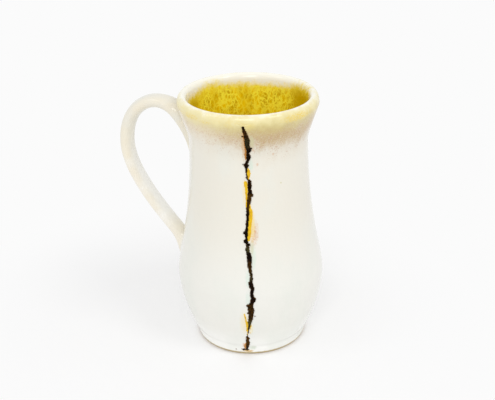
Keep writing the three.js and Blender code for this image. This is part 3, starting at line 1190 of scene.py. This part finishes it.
class NodeSheet:
    """A node tree under the pen: short ways to add nodes and to join their sockets."""

    def __init__(self, tree: bpy.types.NodeTree) -> None:
        """Starts on a tree, as it is."""
        self.tree = tree

    def add(self, kind: str, **settings: object) -> bpy.types.Node:
        """Adds a node.

        Args:
            kind: the node's type, without its usual beginning.
            settings: the node's own properties.

        Returns:
            The node.
        """
        node = self.tree.nodes.new("ShaderNode" + kind)
        for name, value in settings.items():
            setattr(node, name, value)
        return node

    def feed(self, socket: bpy.types.NodeSocket, value: object) -> None:
        """Joins a socket to a flow, or sets it to a plain value.

        Args:
            socket: the input to feed.
            value: a flow, a number or a colour.
        """
        if isinstance(value, Flow):
            self.tree.links.new(value.socket, socket)
        else:
            socket.default_value = value

    def flow(self, kind: str, result: int | str, inputs: dict, **settings: object) -> Flow:
        """Adds a node and feeds it.

        Args:
            kind: the node's type, without its usual beginning.
            result: which of its outputs is wanted.
            inputs: the value of each input, by its name or number.
            settings: the node's own properties.

        Returns:
            What comes out of the wanted output.
        """
        node = self.add(kind, **settings)
        for name, value in inputs.items():
            self.feed(node.inputs[name], value)
        return Flow(self, node.outputs[result])

    def flows(self, sockets: bpy.types.NodeOutputs) -> dict[str, Flow]:
        """All the outputs of a node as flows, by their names."""
        return {socket.name: Flow(self, socket) for socket in sockets if socket.name}

    def maths(self, operation: str, *values: object) -> Flow:
        """One step of arithmetic on numbers."""
        return self.flow("Math", 0, dict(enumerate(values)), operation=operation)

    def vector(self, operation: str, *values: object, result: str = "Vector") -> Flow:
        """One step of arithmetic on vectors."""
        return self.flow("VectorMath", result, dict(enumerate(values)), operation=operation)

    def scaled(self, place: Flow, *by: float) -> Flow:
        """A place, stretched along the axes."""
        return self.vector("MULTIPLY", place, by)

    def towards(self, place: Flow, way: Triple) -> Flow:
        """How far a place lies in a direction."""
        return self.vector("DOT_PRODUCT", place, way, result="Value")

    def ease(self, value: Flow, low: object, high: object) -> Flow:
        """Goes smoothly from 0 at low to 1 at high."""
        inputs = {"Value": value, "From Min": low, "From Max": high}
        return self.flow("MapRange", "Result", inputs, interpolation_type="SMOOTHSTEP")

    def fade(self, value: Flow, low: object, high: object) -> Flow:
        """Goes smoothly from 1 at low to 0 at high."""
        return 1.0 - self.ease(value, low, high)

    def mix(self, share: object, low: object, high: object) -> Flow:
        """Mixes two colours."""
        return self.flow("Mix", 2, {0: share, 6: low, 7: high}, data_type="RGBA")

    def noise(self, place: Flow, scale: float, detail: float = 2, rough: float = 0.5) -> Flow:
        """Cloudy noise, 0 to 1."""
        inputs = {"Vector": place, "Scale": scale, "Detail": detail, "Roughness": rough}
        return self.flow("TexNoise", "Fac", inputs)

    def pushed(self, place: Flow, source: Flow, scale: float, reach: float) -> Flow:
        """A place, pushed about by coloured noise that is read at another."""
        push = self.flow("TexNoise", "Color", {"Vector": source, "Scale": scale})
        return self.vector("ADD", place, self.scaled(push, *(reach,) * 3))

    def cells(self, place: Flow, scale: float, feature: str = "F1") -> Flow:
        """Distance to the middle of the nearest cell, or to its edge."""
        return self.flow("TexVoronoi", "Distance", {"Vector": place, "Scale": scale}, feature=feature)

    def web(self, place: Flow, scale: float, width: float) -> Flow:
        """Thin lines between cells, as a mask."""
        return self.fade(self.cells(place, scale, "DISTANCE_TO_EDGE"), 0.02, width)

    def bump(self, height: Flow, distance: float) -> Flow:
        """A normal from a height, whose full range is a distance in millimetres."""
        return self.flow("Bump", "Normal", {"Strength": 1.0, "Distance": distance * MM, "Height": height})

    def group(self, group: bpy.types.NodeTree, **values: object) -> dict[str, Flow]:
        """Places a node group.

        Args:
            group: the group's tree.
            values: its inputs, with underscores in the names standing for spaces.

        Returns:
            Its outputs, by their names.
        """
        node = self.add("Group", node_tree=group)
        for name, value in values.items():
            self.feed(node.inputs[name.replace("_", " ")], value)
        return self.flows(node.outputs)

    def place(self) -> Flow:
        """The place on the object, in millimetres."""
        return self.scaled(self.flow("TexCoord", "Object", {}), *(1 / MM,) * 3)

    def value(self, name: str) -> Flow:
        """The number that the mesh stores under a name."""
        return self.flow("Attribute", "Fac", {}, attribute_name=name, attribute_type="GEOMETRY")


def new_group(
        name: str, inputs: dict[str, str],
        outputs: dict[str, str]) -> tuple[NodeSheet, dict[str, Flow], bpy.types.NodeInputs]:
    """Starts a shader node group.

    Args:
        name: the group's name.
        inputs: the kind of each named input, such as Float, Color or Vector.
        outputs: the kind of each named output.

    Returns:
        The group's sheet, its inputs as flows to read, and its outputs as sockets to feed.
    """
    tree = bpy.data.node_groups.new(name, "ShaderNodeTree")
    for direction, sockets in (("INPUT", inputs), ("OUTPUT", outputs)):
        for label, kind in sockets.items():
            tree.interface.new_socket(name=label, in_out=direction, socket_type="NodeSocket" + kind)
    source = tree.nodes.new("NodeGroupInput")
    target = tree.nodes.new("NodeGroupOutput")
    sheet = NodeSheet(tree)
    return sheet, sheet.flows(source.outputs), target.inputs


@dataclass(frozen=True)
class Stain:
    """A soft patch of another colour over the glaze, near the crack or along the rim: mostly a stain in
    the glaze, in one place painted shade.
    """

    side: float
    height: float
    half_width: float
    half_height: float
    colour: Colour
    strength: float
    broken: float = 0.0


@dataclass(frozen=True)
class GlazeEffects:
    """The effects that the finishes share, each a node group that is built once."""

    cream: Colour = srgb(254, 252, 240)
    mustard: Colour = srgb(240, 200, 0)
    deep_mustard: Colour = srgb(204, 165, 0)
    plain_end: Colour = srgb(204, 167, 0)
    lace: Colour = srgb(255, 240, 66)
    # Lemon: partly the glaze's own paler yellow, partly painted light that lifts the shaded wall under the
    # rim.
    lemon: Colour = srgb(255, 232, 70)
    lace_depths: Pair = (8.0, 34.0)
    cover_depths: Pair = (-1.5, 2.8)
    lemon_depths: Pair = (0.5, 6.5)
    plain_ends: Pair = (21.0, 29.0)
    cup_across: Triple = (0.927, 0.375, 0)
    right_rim: Triple = (0.73, 0.68, 0)
    left_rim: Triple = (-0.866, 0.5, 0)

    @cached_property
    def liner_mottle(self) -> bpy.types.NodeTree:
        """Mustard glaze with a pale lace of runs, fading raggedly to cream towards the rim, with a lemon
        band at its top that is partly a real paler glaze and partly painted light on the shaded wall under
        the rim.

        Returns:
            The group, which gives the colour and how much of the cream it covers.
        """
        sheet, source, target = new_group(
            "liner_mottle", {"Place": "Vector", "From Rim": "Float"}, {"Color": "Color", "Cover": "Float"})
        place = source["Place"]
        drawn = sheet.scaled(place, 1, 1, 0.55)
        depth = source["From Rim"] * -1.0
        bent = sheet.pushed(drawn, sheet.scaled(place, 1, 1, 0.45), 0.35, 2.2)
        bent = sheet.pushed(bent, place, 0.9, 1.3)
        lacy = sheet.web(bent, 0.42, 0.16) | sheet.web(bent, 0.8, 0.15) * 0.6
        runs = sheet.ease(sheet.noise(sheet.scaled(place, 1, 1, 0.16), 0.16, 3), 0.36, 0.58)
        lacy = (lacy * (runs * 0.5 + 0.6)).clamped()
        lacy = lacy * (sheet.fade(depth, *self.lace_depths) * 0.5 + 0.5)
        ends = sheet.ease(abs(sheet.towards(place, self.cup_across) + 1.0), *self.plain_ends)
        lacy = lacy * (1.0 - ends)
        base = sheet.mix(
            sheet.ease(sheet.noise(drawn, 0.25, 3), 0.35, 0.7), self.mustard, self.deep_mustard)
        yellow = sheet.mix(lacy, sheet.mix(ends, base, self.plain_end), self.lace)
        tongues = sheet.noise(place, 0.42, 4, 0.7)
        tide = sheet.noise(sheet.scaled(place, 1, 1, 0.2), 0.05, 2)
        right_run = sheet.ease(sheet.towards(place, self.right_rim), 26.5, 33.5)
        left_run = sheet.ease(sheet.towards(place, self.left_rim), 28.5, 33.5)
        start = tongues * 6.0 + 2.0 + tide * 2.0 - (right_run * 4.6 | left_run * 3.0)
        below = depth - start
        # The lemon band at the liner's top is partly real paler glaze and partly painted light on the
        # shaded wall under the rim.
        lemon_and_painted_light = sheet.fade(below, *self.lemon_depths)
        sheet.feed(target["Color"], sheet.mix(lemon_and_painted_light * 0.75, yellow, self.lemon))
        sheet.feed(target["Cover"], sheet.ease(below, *self.cover_depths))
        return sheet.tree

    @cached_property
    def orange_peel(self) -> bpy.types.NodeTree:
        """The faint waves and pinholes of a fired glaze.

        Returns:
            The group, which gives a height.
        """
        sheet, source, target = new_group("orange_peel", {"Place": "Vector"}, {"Height": "Float"})
        waves = sheet.noise(source["Place"], 0.28, 2, 0.4)
        skin = sheet.noise(source["Place"], 1.4, 1, 0.4)
        sheet.feed(target["Height"], waves + skin * 0.12)
        return sheet.tree

    @cached_property
    def freckles(self) -> bpy.types.NodeTree:
        """Small scattered dots.

        Returns:
            The group, which gives a mask.
        """
        sheet, source, target = new_group(
            "freckles", {"Place": "Vector", "Amount": "Float"}, {"Mask": "Float"})
        dots = sheet.cells(sheet.scaled(source["Place"], 1, 1, 0.75), 1.15)
        size = source["Amount"] * 0.42
        mask = sheet.fade(dots, size * 0.4, size + 0.05)
        sheet.feed(target["Mask"], mask * sheet.ease(source["Amount"], 0.05, 0.3))
        return sheet.tree

    @cached_property
    def soft_patch(self) -> bpy.types.NodeTree:
        """One soft oval patch of colour over what is there.

        Returns:
            The group, which gives the colour with the patch on it.
        """
        measures = ("Side", "Height", "Middle Side", "Middle Height", "Half Width", "Half Height",
                    "Strength", "Broken")
        sheet, source, target = new_group(
            "soft_patch",
            {"Color": "Color", "Place": "Vector", "Tint": "Color"} | dict.fromkeys(measures, "Float"),
            {"Color": "Color"})
        place = source["Place"]
        across = (source["Side"] - source["Middle Side"]) / source["Half Width"]
        along = (source["Height"] - source["Middle Height"]) / source["Half Height"]
        away = sheet.maths("SQRT", across * across + along * along)
        away = away + (sheet.noise(place, 0.9, 2) - 0.5) * 0.9
        crumbs = sheet.ease(sheet.noise(place, 1.6, 3, 0.7), 0.46, 0.62)
        patch = sheet.fade(away, 0.35, 1.2) * (1.0 - source["Broken"] * (1.0 - crumbs))
        patch = (patch * source["Strength"]).clamped()
        sheet.feed(target["Color"], sheet.mix(patch, source["Color"], source["Tint"]))
        return sheet.tree

    def gloss(self, sheet: NodeSheet, place: Flow, roughness: float) -> dict[str, Flow]:
        """The roughness and the waves of glossy glaze.

        Args:
            sheet: the sheet of the material.
            place: the place on the object.
            roughness: how rough the glaze is on the whole.

        Returns:
            What to feed to the shader, by the names of its inputs.
        """
        peel = sheet.group(self.orange_peel, Place=place)["Height"]
        return {
            "Roughness": sheet.noise(place, 0.12, 2) * 0.06 + (roughness - 0.03),
            "Normal": sheet.bump(peel, 0.09),
        }


@dataclass(frozen=True)
class Finish:
    """A material that is mixed from procedural nodes."""

    name: ClassVar[str]

    def looks(self, sheet: NodeSheet) -> dict[str, object]:
        """What the Principled shader is fed with, by the names of its inputs."""
        raise NotImplementedError

    def make(self) -> Material:
        """Mixes the finish.

        Returns:
            The material.
        """
        material = bpy.data.materials.new(self.name)
        material.use_nodes = True
        sheet = NodeSheet(material.node_tree)
        shader = material.node_tree.nodes["Principled BSDF"]
        for socket, value in self.looks(sheet).items():
            sheet.feed(shader.inputs[socket], value)
        return material


@dataclass
class Coat:
    """A glaze in the making: what it reads from the mug, and its colour so far.

    The right is measured from 0 on the mug's left to 1 on its right, as the photograph shows it.
    """

    sheet: NodeSheet
    place: Flow
    height: Flow
    from_rim: Flow
    towards_right: Flow
    right: Flow
    colour: Flow

    def tint(self, share: Flow, colour: object) -> None:
        """Mixes another colour in."""
        self.colour = self.sheet.mix(share, self.colour, colour)


@dataclass(frozen=True)
class CreamGlaze(Finish):
    """Cream gloss outside: yellow at the lip, a freckled pink band under it, stained patches and a patch
    of painted shade by the crack, and painted light on the foot and the lower handle.
    """

    name: ClassVar[str] = "cream_glaze"

    places: WallPlaces
    effects: GlazeEffects
    upper: Colour = srgb(235, 231, 219)
    lower: Colour = srgb(238, 237, 230)
    cool: Colour = srgb(232, 234, 226)
    lip_yellow: Colour = srgb(242, 231, 180)
    lip_spot: Colour = srgb(238, 206, 88)
    khaki: Colour = srgb(230, 216, 160)
    dark_khaki: Colour = srgb(212, 196, 122)
    pink: Colour = srgb(228, 211, 178)
    tan: Colour = srgb(200, 176, 132)
    # Whiter colour at the foot: painted light from the bright table below.
    foot: Colour = srgb(250, 250, 246)
    foot_edge: Colour = srgb(176, 154, 96)
    freckle: Colour = srgb(190, 142, 112)
    # Paler handle colour: painted light on the shaded lower handle.
    grip_painted_light: Colour = srgb(250, 249, 245)
    grip_tan: Colour = srgb(241, 230, 206)
    roughness: float = 0.14
    waist_heights: Pair = (40.0, 90.0)
    painted_foot_light_heights: Pair = (4.0, 20.0)
    foot_line: Pair = (1.3, 2.3)
    painted_light_grip_heights: Pair = (84.0, 116.0)
    tail_heights: Pair = (55.0, 68.0)
    band_core: Pair = (11.5, 21.5)
    band_veil: Pair = (17.0, 31.0)
    khaki_edge: Pair = (4.5, 15.5)
    yellow_edge: Pair = (1.5, 10.0)
    cream_edge: Pair = (-1.0, 3.4)
    right_reach: Pair = (-2.0, 30.0)
    right_way: Triple = (0.93, -0.36, 0)
    front_way: Triple = (0.375, -0.927, 0)
    stains_and_shade: tuple[Stain, ...] = (
        Stain(2.6, 112.5, 1.3, 3.8, srgb(205, 226, 210), 0.5),
        Stain(3.4, 62.5, 1.5, 7.4, srgb(212, 230, 214), 0.5),
        Stain(0.3, 51.5, 1.3, 5.4, srgb(210, 232, 218), 0.5),
        Stain(0.3, 40.0, 1.3, 5.6, srgb(214, 232, 220), 0.5),
        Stain(2.2, 4.9, 2.2, 1.7, srgb(214, 224, 204), 0.7),
        # Olive patch right of the slag near the top: painted shade beside the crust, with an olive tint.
        Stain(3.3, 126.0, 1.3, 4.0, srgb(206, 200, 158), 0.8),
        Stain(-0.9, 124.0, 1.1, 9.5, srgb(214, 176, 128), 0.7),
        Stain(3.5, 76.5, 2.7, 8.0, srgb(226, 188, 140), 0.75, 0.5),
        Stain(3.7, 75.5, 2.3, 5.5, srgb(212, 148, 104), 0.95, 1.0),
        Stain(2.6, 68.0, 1.2, 4.2, srgb(206, 206, 168), 0.6),
        Stain(3.0, 80.0, 1.5, 8.5, srgb(242, 222, 150), 0.7),
        Stain(-0.9, 98.0, 1.2, 7.5, srgb(244, 226, 168), 0.5),
        Stain(-1.7, 25.0, 2.6, 8.6, srgb(244, 230, 190), 0.6),
        Stain(1.6, 21.0, 1.2, 4.5, srgb(244, 230, 180), 0.6),
        Stain(-0.4, 2.4, 3.4, 0.9, srgb(224, 184, 110), 0.9),
        Stain(-2.1, 6.6, 1.6, 3.0, srgb(232, 186, 134), 0.85),
        Stain(-7.1, 3.0, 0.5, 0.35, srgb(120, 90, 70), 1.0),
        Stain(3.75, 121.0, 0.6, 0.8, srgb(218, 180, 146), 0.7),
        Stain(5.8, 112.7, 0.6, 0.9, srgb(222, 186, 156), 0.7),
        Stain(13.6, 117.4, 0.6, 0.8, srgb(222, 190, 162), 0.7),
        Stain(17.4, 101.0, 0.5, 0.5, srgb(216, 212, 168), 0.8),
        Stain(2.0, 134.8, 3.4, 2.4, srgb(238, 218, 132), 0.6, 0.6),
        Stain(25.0, 136.4, 7.5, 2.4, srgb(238, 204, 76), 0.9, 0.8),
        Stain(-27.0, 135.8, 4.0, 1.7, srgb(238, 206, 84), 0.8, 0.8),
        Stain(-19.5, 135.0, 3.2, 1.2, srgb(238, 206, 84), 0.6, 0.9),
        Stain(-8.0, 134.6, 4.0, 1.0, srgb(240, 212, 110), 0.4, 1.0),
    )

    def looks(self, sheet: NodeSheet) -> dict[str, object]:
        """Lays the glaze in its layers.

        Args:
            sheet: the sheet of the material.

        Returns:
            What to feed to the shader, by the names of its inputs.
        """
        place = sheet.place()
        height = sheet.flow("SeparateXYZ", "Z", {0: place})
        towards_right = sheet.towards(place, self.right_way)
        body = sheet.mix(sheet.ease(height, *self.waist_heights), self.lower, self.upper)
        # The colour starts whiter near the foot, which is painted light from the bright table below.
        coat = Coat(
            sheet, place, height, sheet.value("from_rim"), towards_right,
            sheet.ease(towards_right, *self.right_reach),
            sheet.mix(sheet.ease(height, *self.painted_foot_light_heights), self.foot, body))
        clouds = sheet.noise(sheet.scaled(place, 1, 1, 0.7), 0.055, 3)
        coat.tint(sheet.ease(clouds, 0.45, 0.7) * 0.55, self.cool)
        self.lay_grip(coat)
        self.lay_band(coat)
        self.lay_lip(coat)
        self.lay_stains_and_shade(coat)
        ragged = height + sheet.noise(place, 0.5, 3) * 0.5
        coat.tint(sheet.fade(ragged, *self.foot_line) * 0.95, self.foot_edge)
        return {"Base Color": coat.colour} | self.effects.gloss(sheet, place, self.roughness)

    def lay_grip(self, coat: Coat) -> None:
        """Makes the handle paler low down, which is painted light on its shaded lower part, and tan at its
        edges and its tail, where the glaze runs thin.

        Args:
            coat: the glaze so far.
        """
        sheet, place = coat.sheet, coat.place
        grip = sheet.ease(sheet.value("off_wall"), 0.2, 2.4)
        # Painted light: the lower handle is made paler where the lamps leave it in shade.
        coat.tint(grip * sheet.fade(coat.height, *self.painted_light_grip_heights), self.grip_painted_light)
        across = abs(sheet.towards(place, (0, 1, 0)))
        thin = sheet.ease(across, 1.6, 5.0) * sheet.ease(sheet.noise(place, 0.1, 2), 0.2, 0.7)
        tail = sheet.fade(coat.height, *self.tail_heights)
        coat.tint(grip * (thin * 0.7 | tail * 0.6), self.grip_tan)

    def lay_band(self, coat: Coat) -> None:
        """Lays the pink band under the lip, with runs and freckles at its lower edge.

        Args:
            coat: the glaze so far.
        """
        sheet, place, right = coat.sheet, coat.place, coat.right
        runs = (sheet.noise(sheet.scaled(place, 1, 1, 0.4), 0.34, 4, 0.6) - 0.5) * 8.0
        drift = (sheet.noise(place, 0.07, 2) - 0.5) * 8.0
        edge = coat.from_rim + (runs + drift) - right * 2.6
        veil = sheet.fade(edge, *self.band_veil)
        strength = right * 0.28 + 0.72
        cover = sheet.fade(edge, *self.band_core) * 0.78 + veil * 0.22
        grain = sheet.noise(place, 1.6, 3, 0.75) * 1.9 + 0.05
        grain = grain - sheet.ease(coat.towards_right, 33.0, 37.0) * 0.4
        outside = sheet.ease(coat.from_rim, 1.0, 5.0)
        cover = (cover * strength * grain).clamped() * outside
        coat.tint(cover, sheet.mix(right, self.pink, self.tan))
        specks = sheet.ease(sheet.noise(place, 1.1, 3, 0.8), 0.5, 0.66) * 0.5
        coat.tint(specks * cover, self.freckle)
        patchy = sheet.ease(sheet.noise(place, 0.3, 3), 0.36, 0.6)
        dots = sheet.group(
            self.effects.freckles, Place=place, Amount=veil * outside * strength * patchy)
        coat.tint(dots["Mask"] * 0.55, self.freckle)

    def lay_lip(self, coat: Coat) -> None:
        """Lays the khaki edge, the yellow of the lip and, inside, the start of the liner.

        Args:
            coat: the glaze so far.
        """
        sheet, place = coat.sheet, coat.place
        edge = coat.from_rim + (sheet.noise(place, 0.22, 3) - 0.5) * 7.0
        front = sheet.ease(sheet.towards(place, self.front_way), 12.0, 24.0) * 0.5 + 0.4
        khaki = sheet.mix(coat.right, self.khaki, self.dark_khaki)
        coat.tint(sheet.fade(edge, *self.khaki_edge) * front, khaki)
        coat.tint(sheet.fade(edge, *self.yellow_edge), self.lip_yellow)
        coat.tint(sheet.fade(edge, *self.cream_edge), self.effects.cream)
        spots = sheet.ease(sheet.noise(place, 0.5, 4, 0.65), 0.44, 0.62)
        clusters = sheet.ease(sheet.noise(place, 0.07, 2), 0.46, 0.6)
        nearby = sheet.fade(abs(coat.from_rim - 3.2), 1.5, 4.5)
        coat.tint(spots * clusters * nearby * 0.22, self.lip_spot)
        liner = sheet.group(self.effects.liner_mottle, Place=place, From_Rim=coat.from_rim)
        coat.tint(liner["Cover"], liner["Color"])

    def lay_stains_and_shade(self, coat: Coat) -> None:
        """Lays the stained patches, one of them painted shade, on the crack's half of the mug only.

        Args:
            coat: the glaze so far.
        """
        sheet, place = coat.sheet, coat.place
        side = sheet.towards(place, tuple(self.places.right))
        front = sheet.ease(sheet.towards(place, tuple(self.places.ahead)), 8.0, 14.0)
        for stain in self.stains_and_shade:
            coat.colour = sheet.group(
                self.effects.soft_patch, Color=coat.colour, Place=place, Side=side, Height=coat.height,
                Middle_Side=stain.side, Middle_Height=stain.height, Half_Width=stain.half_width,
                Half_Height=stain.half_height, Tint=stain.colour, Broken=stain.broken,
                Strength=front * stain.strength)["Color"]


@dataclass(frozen=True)
class YellowLiner(Finish):
    """Mustard gloss inside the cup."""

    name: ClassVar[str] = "yellow_liner"

    effects: GlazeEffects
    roughness: float = 0.16

    def looks(self, sheet: NodeSheet) -> dict[str, object]:
        """Mixes the liner.

        Args:
            sheet: the sheet of the material.

        Returns:
            What to feed to the shader, by the names of its inputs.
        """
        place = sheet.place()
        liner = sheet.group(self.effects.liner_mottle, Place=place, From_Rim=sheet.value("from_rim"))
        colour = sheet.mix(liner["Cover"], self.effects.cream, liner["Color"])
        gloss = self.effects.gloss(sheet, place, self.roughness)
        return {"Base Color": colour, "Specular IOR Level": FAINT_SHINE} | gloss


@dataclass(frozen=True)
class BareClay(Finish):
    """Unglazed, fired clay under the foot: matt, tan and a little gritty."""

    name: ClassVar[str] = "bare_clay"

    effects: GlazeEffects
    tan: Colour = srgb(184, 162, 118)
    dark: Colour = srgb(158, 134, 90)
    grit: Colour = srgb(120, 92, 62)

    def looks(self, sheet: NodeSheet) -> dict[str, object]:
        """Mixes the clay.

        Args:
            sheet: the sheet of the material.

        Returns:
            What to feed to the shader, by the names of its inputs.
        """
        place = sheet.place()
        colour = sheet.mix(sheet.ease(sheet.noise(place, 0.4, 4), 0.35, 0.7), self.tan, self.dark)
        dots = sheet.group(self.effects.freckles, Place=place, Amount=0.5)
        return {
            "Base Color": sheet.mix(dots["Mask"] * 0.5, colour, self.grit),
            "Roughness": sheet.noise(place, 1.0, 2) * 0.2 + 0.7,
            "Normal": sheet.bump(sheet.noise(place, 2.0, 4, 0.7), 0.12),
        }


@dataclass(frozen=True)
class SlagFinish(Finish):
    """Black, half-melted slag: glassy on its lumps, dull and gritty between them."""

    name: ClassVar[str] = "slag_vein"

    black: Colour = srgb(10, 6, 3)
    brown: Colour = srgb(86, 56, 10)
    rust: Colour = srgb(128, 70, 34)
    olive: Colour = srgb(88, 82, 48)
    scorched: Colour = srgb(104, 66, 22)

    def looks(self, sheet: NodeSheet) -> dict[str, object]:
        """Mixes the slag.

        Args:
            sheet: the sheet of the material.

        Returns:
            What to feed to the shader, by the names of its inputs.
        """
        place = sheet.place()
        grains = sheet.noise(place, 1.5, 4, 0.7)
        colour = sheet.mix(sheet.ease(grains, 0.5, 0.72) * 0.18, self.black, self.rust)
        brown, olive = (sheet.value(tone.value) for tone in (Tone.BROWN, Tone.OLIVE))
        for amount, tint in ((brown, self.brown), (olive, self.olive)):
            colour = sheet.mix(amount * sheet.ease(grains, 0.36, 0.6), colour, tint)
        colour = sheet.mix(brown * sheet.ease(grains, 0.6, 0.7) * 0.8, colour, self.rust)
        thin = sheet.fade(sheet.value("inside"), 0.0, 0.4) * sheet.ease(grains, 0.4, 0.62)
        return {
            "Base Color": sheet.mix(thin, colour, self.scorched),
            "Specular IOR Level": FAINT_SHINE,
            "Roughness": sheet.ease(sheet.noise(place, 0.7, 2), 0.35, 0.65) * 0.4 + 0.38,
            "Normal": sheet.bump(grains, 0.3),
        }


@dataclass(frozen=True)
class AmberFinish(Finish):
    """Amber glaze, deeper where it is thick and burnt orange by the hottest part of the crack."""

    name: ClassVar[str] = "amber_glaze"

    effects: GlazeEffects
    amber: Colour = srgb(234, 190, 22)
    deep: Colour = srgb(216, 164, 8)
    edge: Colour = srgb(240, 208, 112)
    burnt: Colour = srgb(188, 128, 58)
    shine: float = 0.22

    def looks(self, sheet: NodeSheet) -> dict[str, object]:
        """Mixes the amber.

        Args:
            sheet: the sheet of the material.

        Returns:
            What to feed to the shader, by the names of its inputs.
        """
        place = sheet.place()
        clouds = sheet.noise(place, 0.6, 3)
        colour = sheet.mix(sheet.ease(clouds, 0.4, 0.68), self.amber, self.deep)
        colour = sheet.mix(sheet.ease(sheet.value("inside"), 0.28, 0.02), colour, self.edge)
        peel = sheet.group(self.effects.orange_peel, Place=place)["Height"]
        return {
            "Base Color": sheet.mix(sheet.value("burnt"), colour, self.burnt),
            "Specular IOR Level": self.shine,
            "Roughness": clouds * 0.1 + 0.1,
            "Normal": sheet.bump(peel, 0.06),
        }


@dataclass(frozen=True)
class FloorFinish(Finish):
    """Pale paper round the mug's shadow, blending into the white room away from it. Metres here."""

    name: ClassVar[str] = "pale_floor"

    light: Colour = srgb(253, 253, 253)
    dark: Colour = srgb(252, 252, 253)
    none: Colour = (0, 0, 0, 1)
    shadow_middle: Triple = (-0.03, -0.01, 0.0)
    plain_reach: Pair = (0.03, 0.17)
    plain_near: float = 0.18

    def looks(self, sheet: NodeSheet) -> dict[str, object]:
        """Mixes the floor, whose shadow is kept where it is near the mug.

        Args:
            sheet: the sheet of the material.

        Returns:
            What to feed to the shader, by the names of its inputs.
        """
        place = sheet.flow("TexCoord", "Object", {})
        away = sheet.vector("DISTANCE", place, self.shadow_middle, result="Value")
        far = sheet.ease(away, *self.plain_reach) | self.plain_near
        colour = sheet.mix(sheet.noise(place, 3.0, 2), self.light, self.dark)
        return {
            "Base Color": sheet.mix(far, colour, self.none),
            "Emission Color": sheet.mix(far, self.none, (ROOM_WHITE,) * 3 + (1,)),
            "Emission Strength": 1.0,
            "Roughness": 0.8,
            "Specular IOR Level": 0.0,
        }


@dataclass(frozen=True)
class SoftBox:
    """A big soft lamp: where it hangs, its size and its brightness."""

    name: str
    place: Triple
    size: Pair
    watts: float


@dataclass(frozen=True)
class Studio:
    """Pale table, soft lamps, white room and the camera. Metres here."""

    floor_size: float = 6.0
    room: float = 0.76
    lamps: tuple[SoftBox, ...] = (
        SoftBox("soft_front", (0.28, -1.0, 0.9), (0.5, 0.5), 3.1),
        SoftBox("soft_right", (0.8, -0.25, 1.0), (0.4, 0.4), 1.9),
        SoftBox("soft_left", (-0.7, -0.6, 1.0), (0.4, 0.4), 0.7),
    )
    aim: Triple = (0.0, 0.0, 0.07)
    camera_place: Triple = (0.18315, -0.45332, 0.30602)
    camera_aim: Triple = (-0.00105, -0.00043, 0.07901)
    camera_roll: float = -1.018
    lens: float = 72.727
    sensor: float = 36.0
    sight: Pair = (0.01, 50.0)

    def lay_floor(self) -> Piece:
        """Lays the pale table under the mug.

        Returns:
            The floor, marked as part of the stage.
        """
        bpy.ops.object.select_all(action="DESELECT")
        bpy.ops.mesh.primitive_plane_add(size=self.floor_size)
        floor = bpy.context.object
        floor.name = floor.data.name = "pale_floor"
        floor.data.materials.append(FloorFinish().make())
        return floor

    def fill_room(self) -> None:
        """Makes the room white to the camera and to reflections, and a soft fill light otherwise."""
        world = bpy.data.worlds.new("white_room")
        world.use_nodes = True
        sheet = NodeSheet(world.node_tree)
        rays = sheet.flows(sheet.add("LightPath").outputs)
        seen = rays["Is Camera Ray"] | rays["Is Glossy Ray"] | rays["Is Transmission Ray"]
        background = world.node_tree.nodes["Background"]
        background.inputs["Color"].default_value = (1, 1, 1, 1)
        sheet.feed(background.inputs["Strength"], seen * (ROOM_WHITE - self.room) + self.room)
        bpy.context.scene.world = world

    def hang_lamps(self) -> None:
        """Hangs the soft lamps, each facing the mug."""
        for box in self.lamps:
            lamp = bpy.data.lights.new(box.name, "AREA")
            lamp.shape = "RECTANGLE"
            lamp.size, lamp.size_y = box.size
            lamp.energy = box.watts
            holder = bpy.data.objects.new(box.name, lamp)
            bpy.context.scene.collection.objects.link(holder)
            holder.location = box.place
            ahead = Vector(self.aim) - Vector(box.place)
            holder.rotation_euler = ahead.to_track_quat("-Z", "Y").to_euler()

    def place_camera(self) -> None:
        """Places the camera at the photograph's viewing angle."""
        camera = bpy.data.cameras.new("camera")
        camera.lens, camera.sensor_width = self.lens, self.sensor
        camera.clip_start, camera.clip_end = self.sight
        holder = bpy.data.objects.new("camera", camera)
        bpy.context.scene.collection.objects.link(holder)
        ahead = (Vector(self.camera_aim) - Vector(self.camera_place)).normalized()
        level = ahead.cross(Vector((0, 0, 1))).normalized()
        rise = level.cross(ahead)
        roll = math.radians(self.camera_roll)
        right = level * math.cos(roll) + rise * math.sin(roll)
        up = right.cross(ahead)
        turned = Matrix((right, up, -ahead)).transposed().to_4x4()
        holder.matrix_world = Matrix.Translation(self.camera_place) @ turned
        bpy.context.scene.camera = holder

    def build(self) -> None:
        """Sets up the whole studio."""
        self.place_camera()
        self.lay_floor()
        self.fill_room()
        self.hang_lamps()
        bpy.context.scene.view_settings.view_transform = "Standard"


def report(piece: Piece) -> None:
    """Logs a finished piece and how fine it is."""
    triangles = sum(len(face.vertices) - 2 for face in piece.data.polygons)
    log.info("%s: %d triangles", piece.name, triangles)


def main() -> None:
    """Builds the studio, the mug and what fills its crack."""
    logging.basicConfig(level=logging.INFO, format="%(name)s: %(message)s")
    wall, course, effects = WallShape(), CrackCourse(), GlazeEffects()
    places = WallPlaces(wall, course)
    studio = Studio()
    studio.build()
    log.info("studio: %d lamps", len(studio.lamps))
    finishes = [finish.make() for finish in (
        CreamGlaze(places, effects), YellowLiner(effects), BareClay(effects))]
    report(MugBody(wall, course, finishes=finishes).build())
    report(SlagCrust(
        places, "slag_crust", "slag_vein", SlagFinish().make(), heights=(2.0, 135.6), sides=(-3.7, 3.7),
    ).build())
    report(AmberPools(
        places, "amber_pools", "amber_glaze", AmberFinish(effects).make(), heights=(3.6, 132.0),
        sides=(-3.4, 4.4), thickness=0.5,
    ).build())


if __name__ == "__main__":
    main()
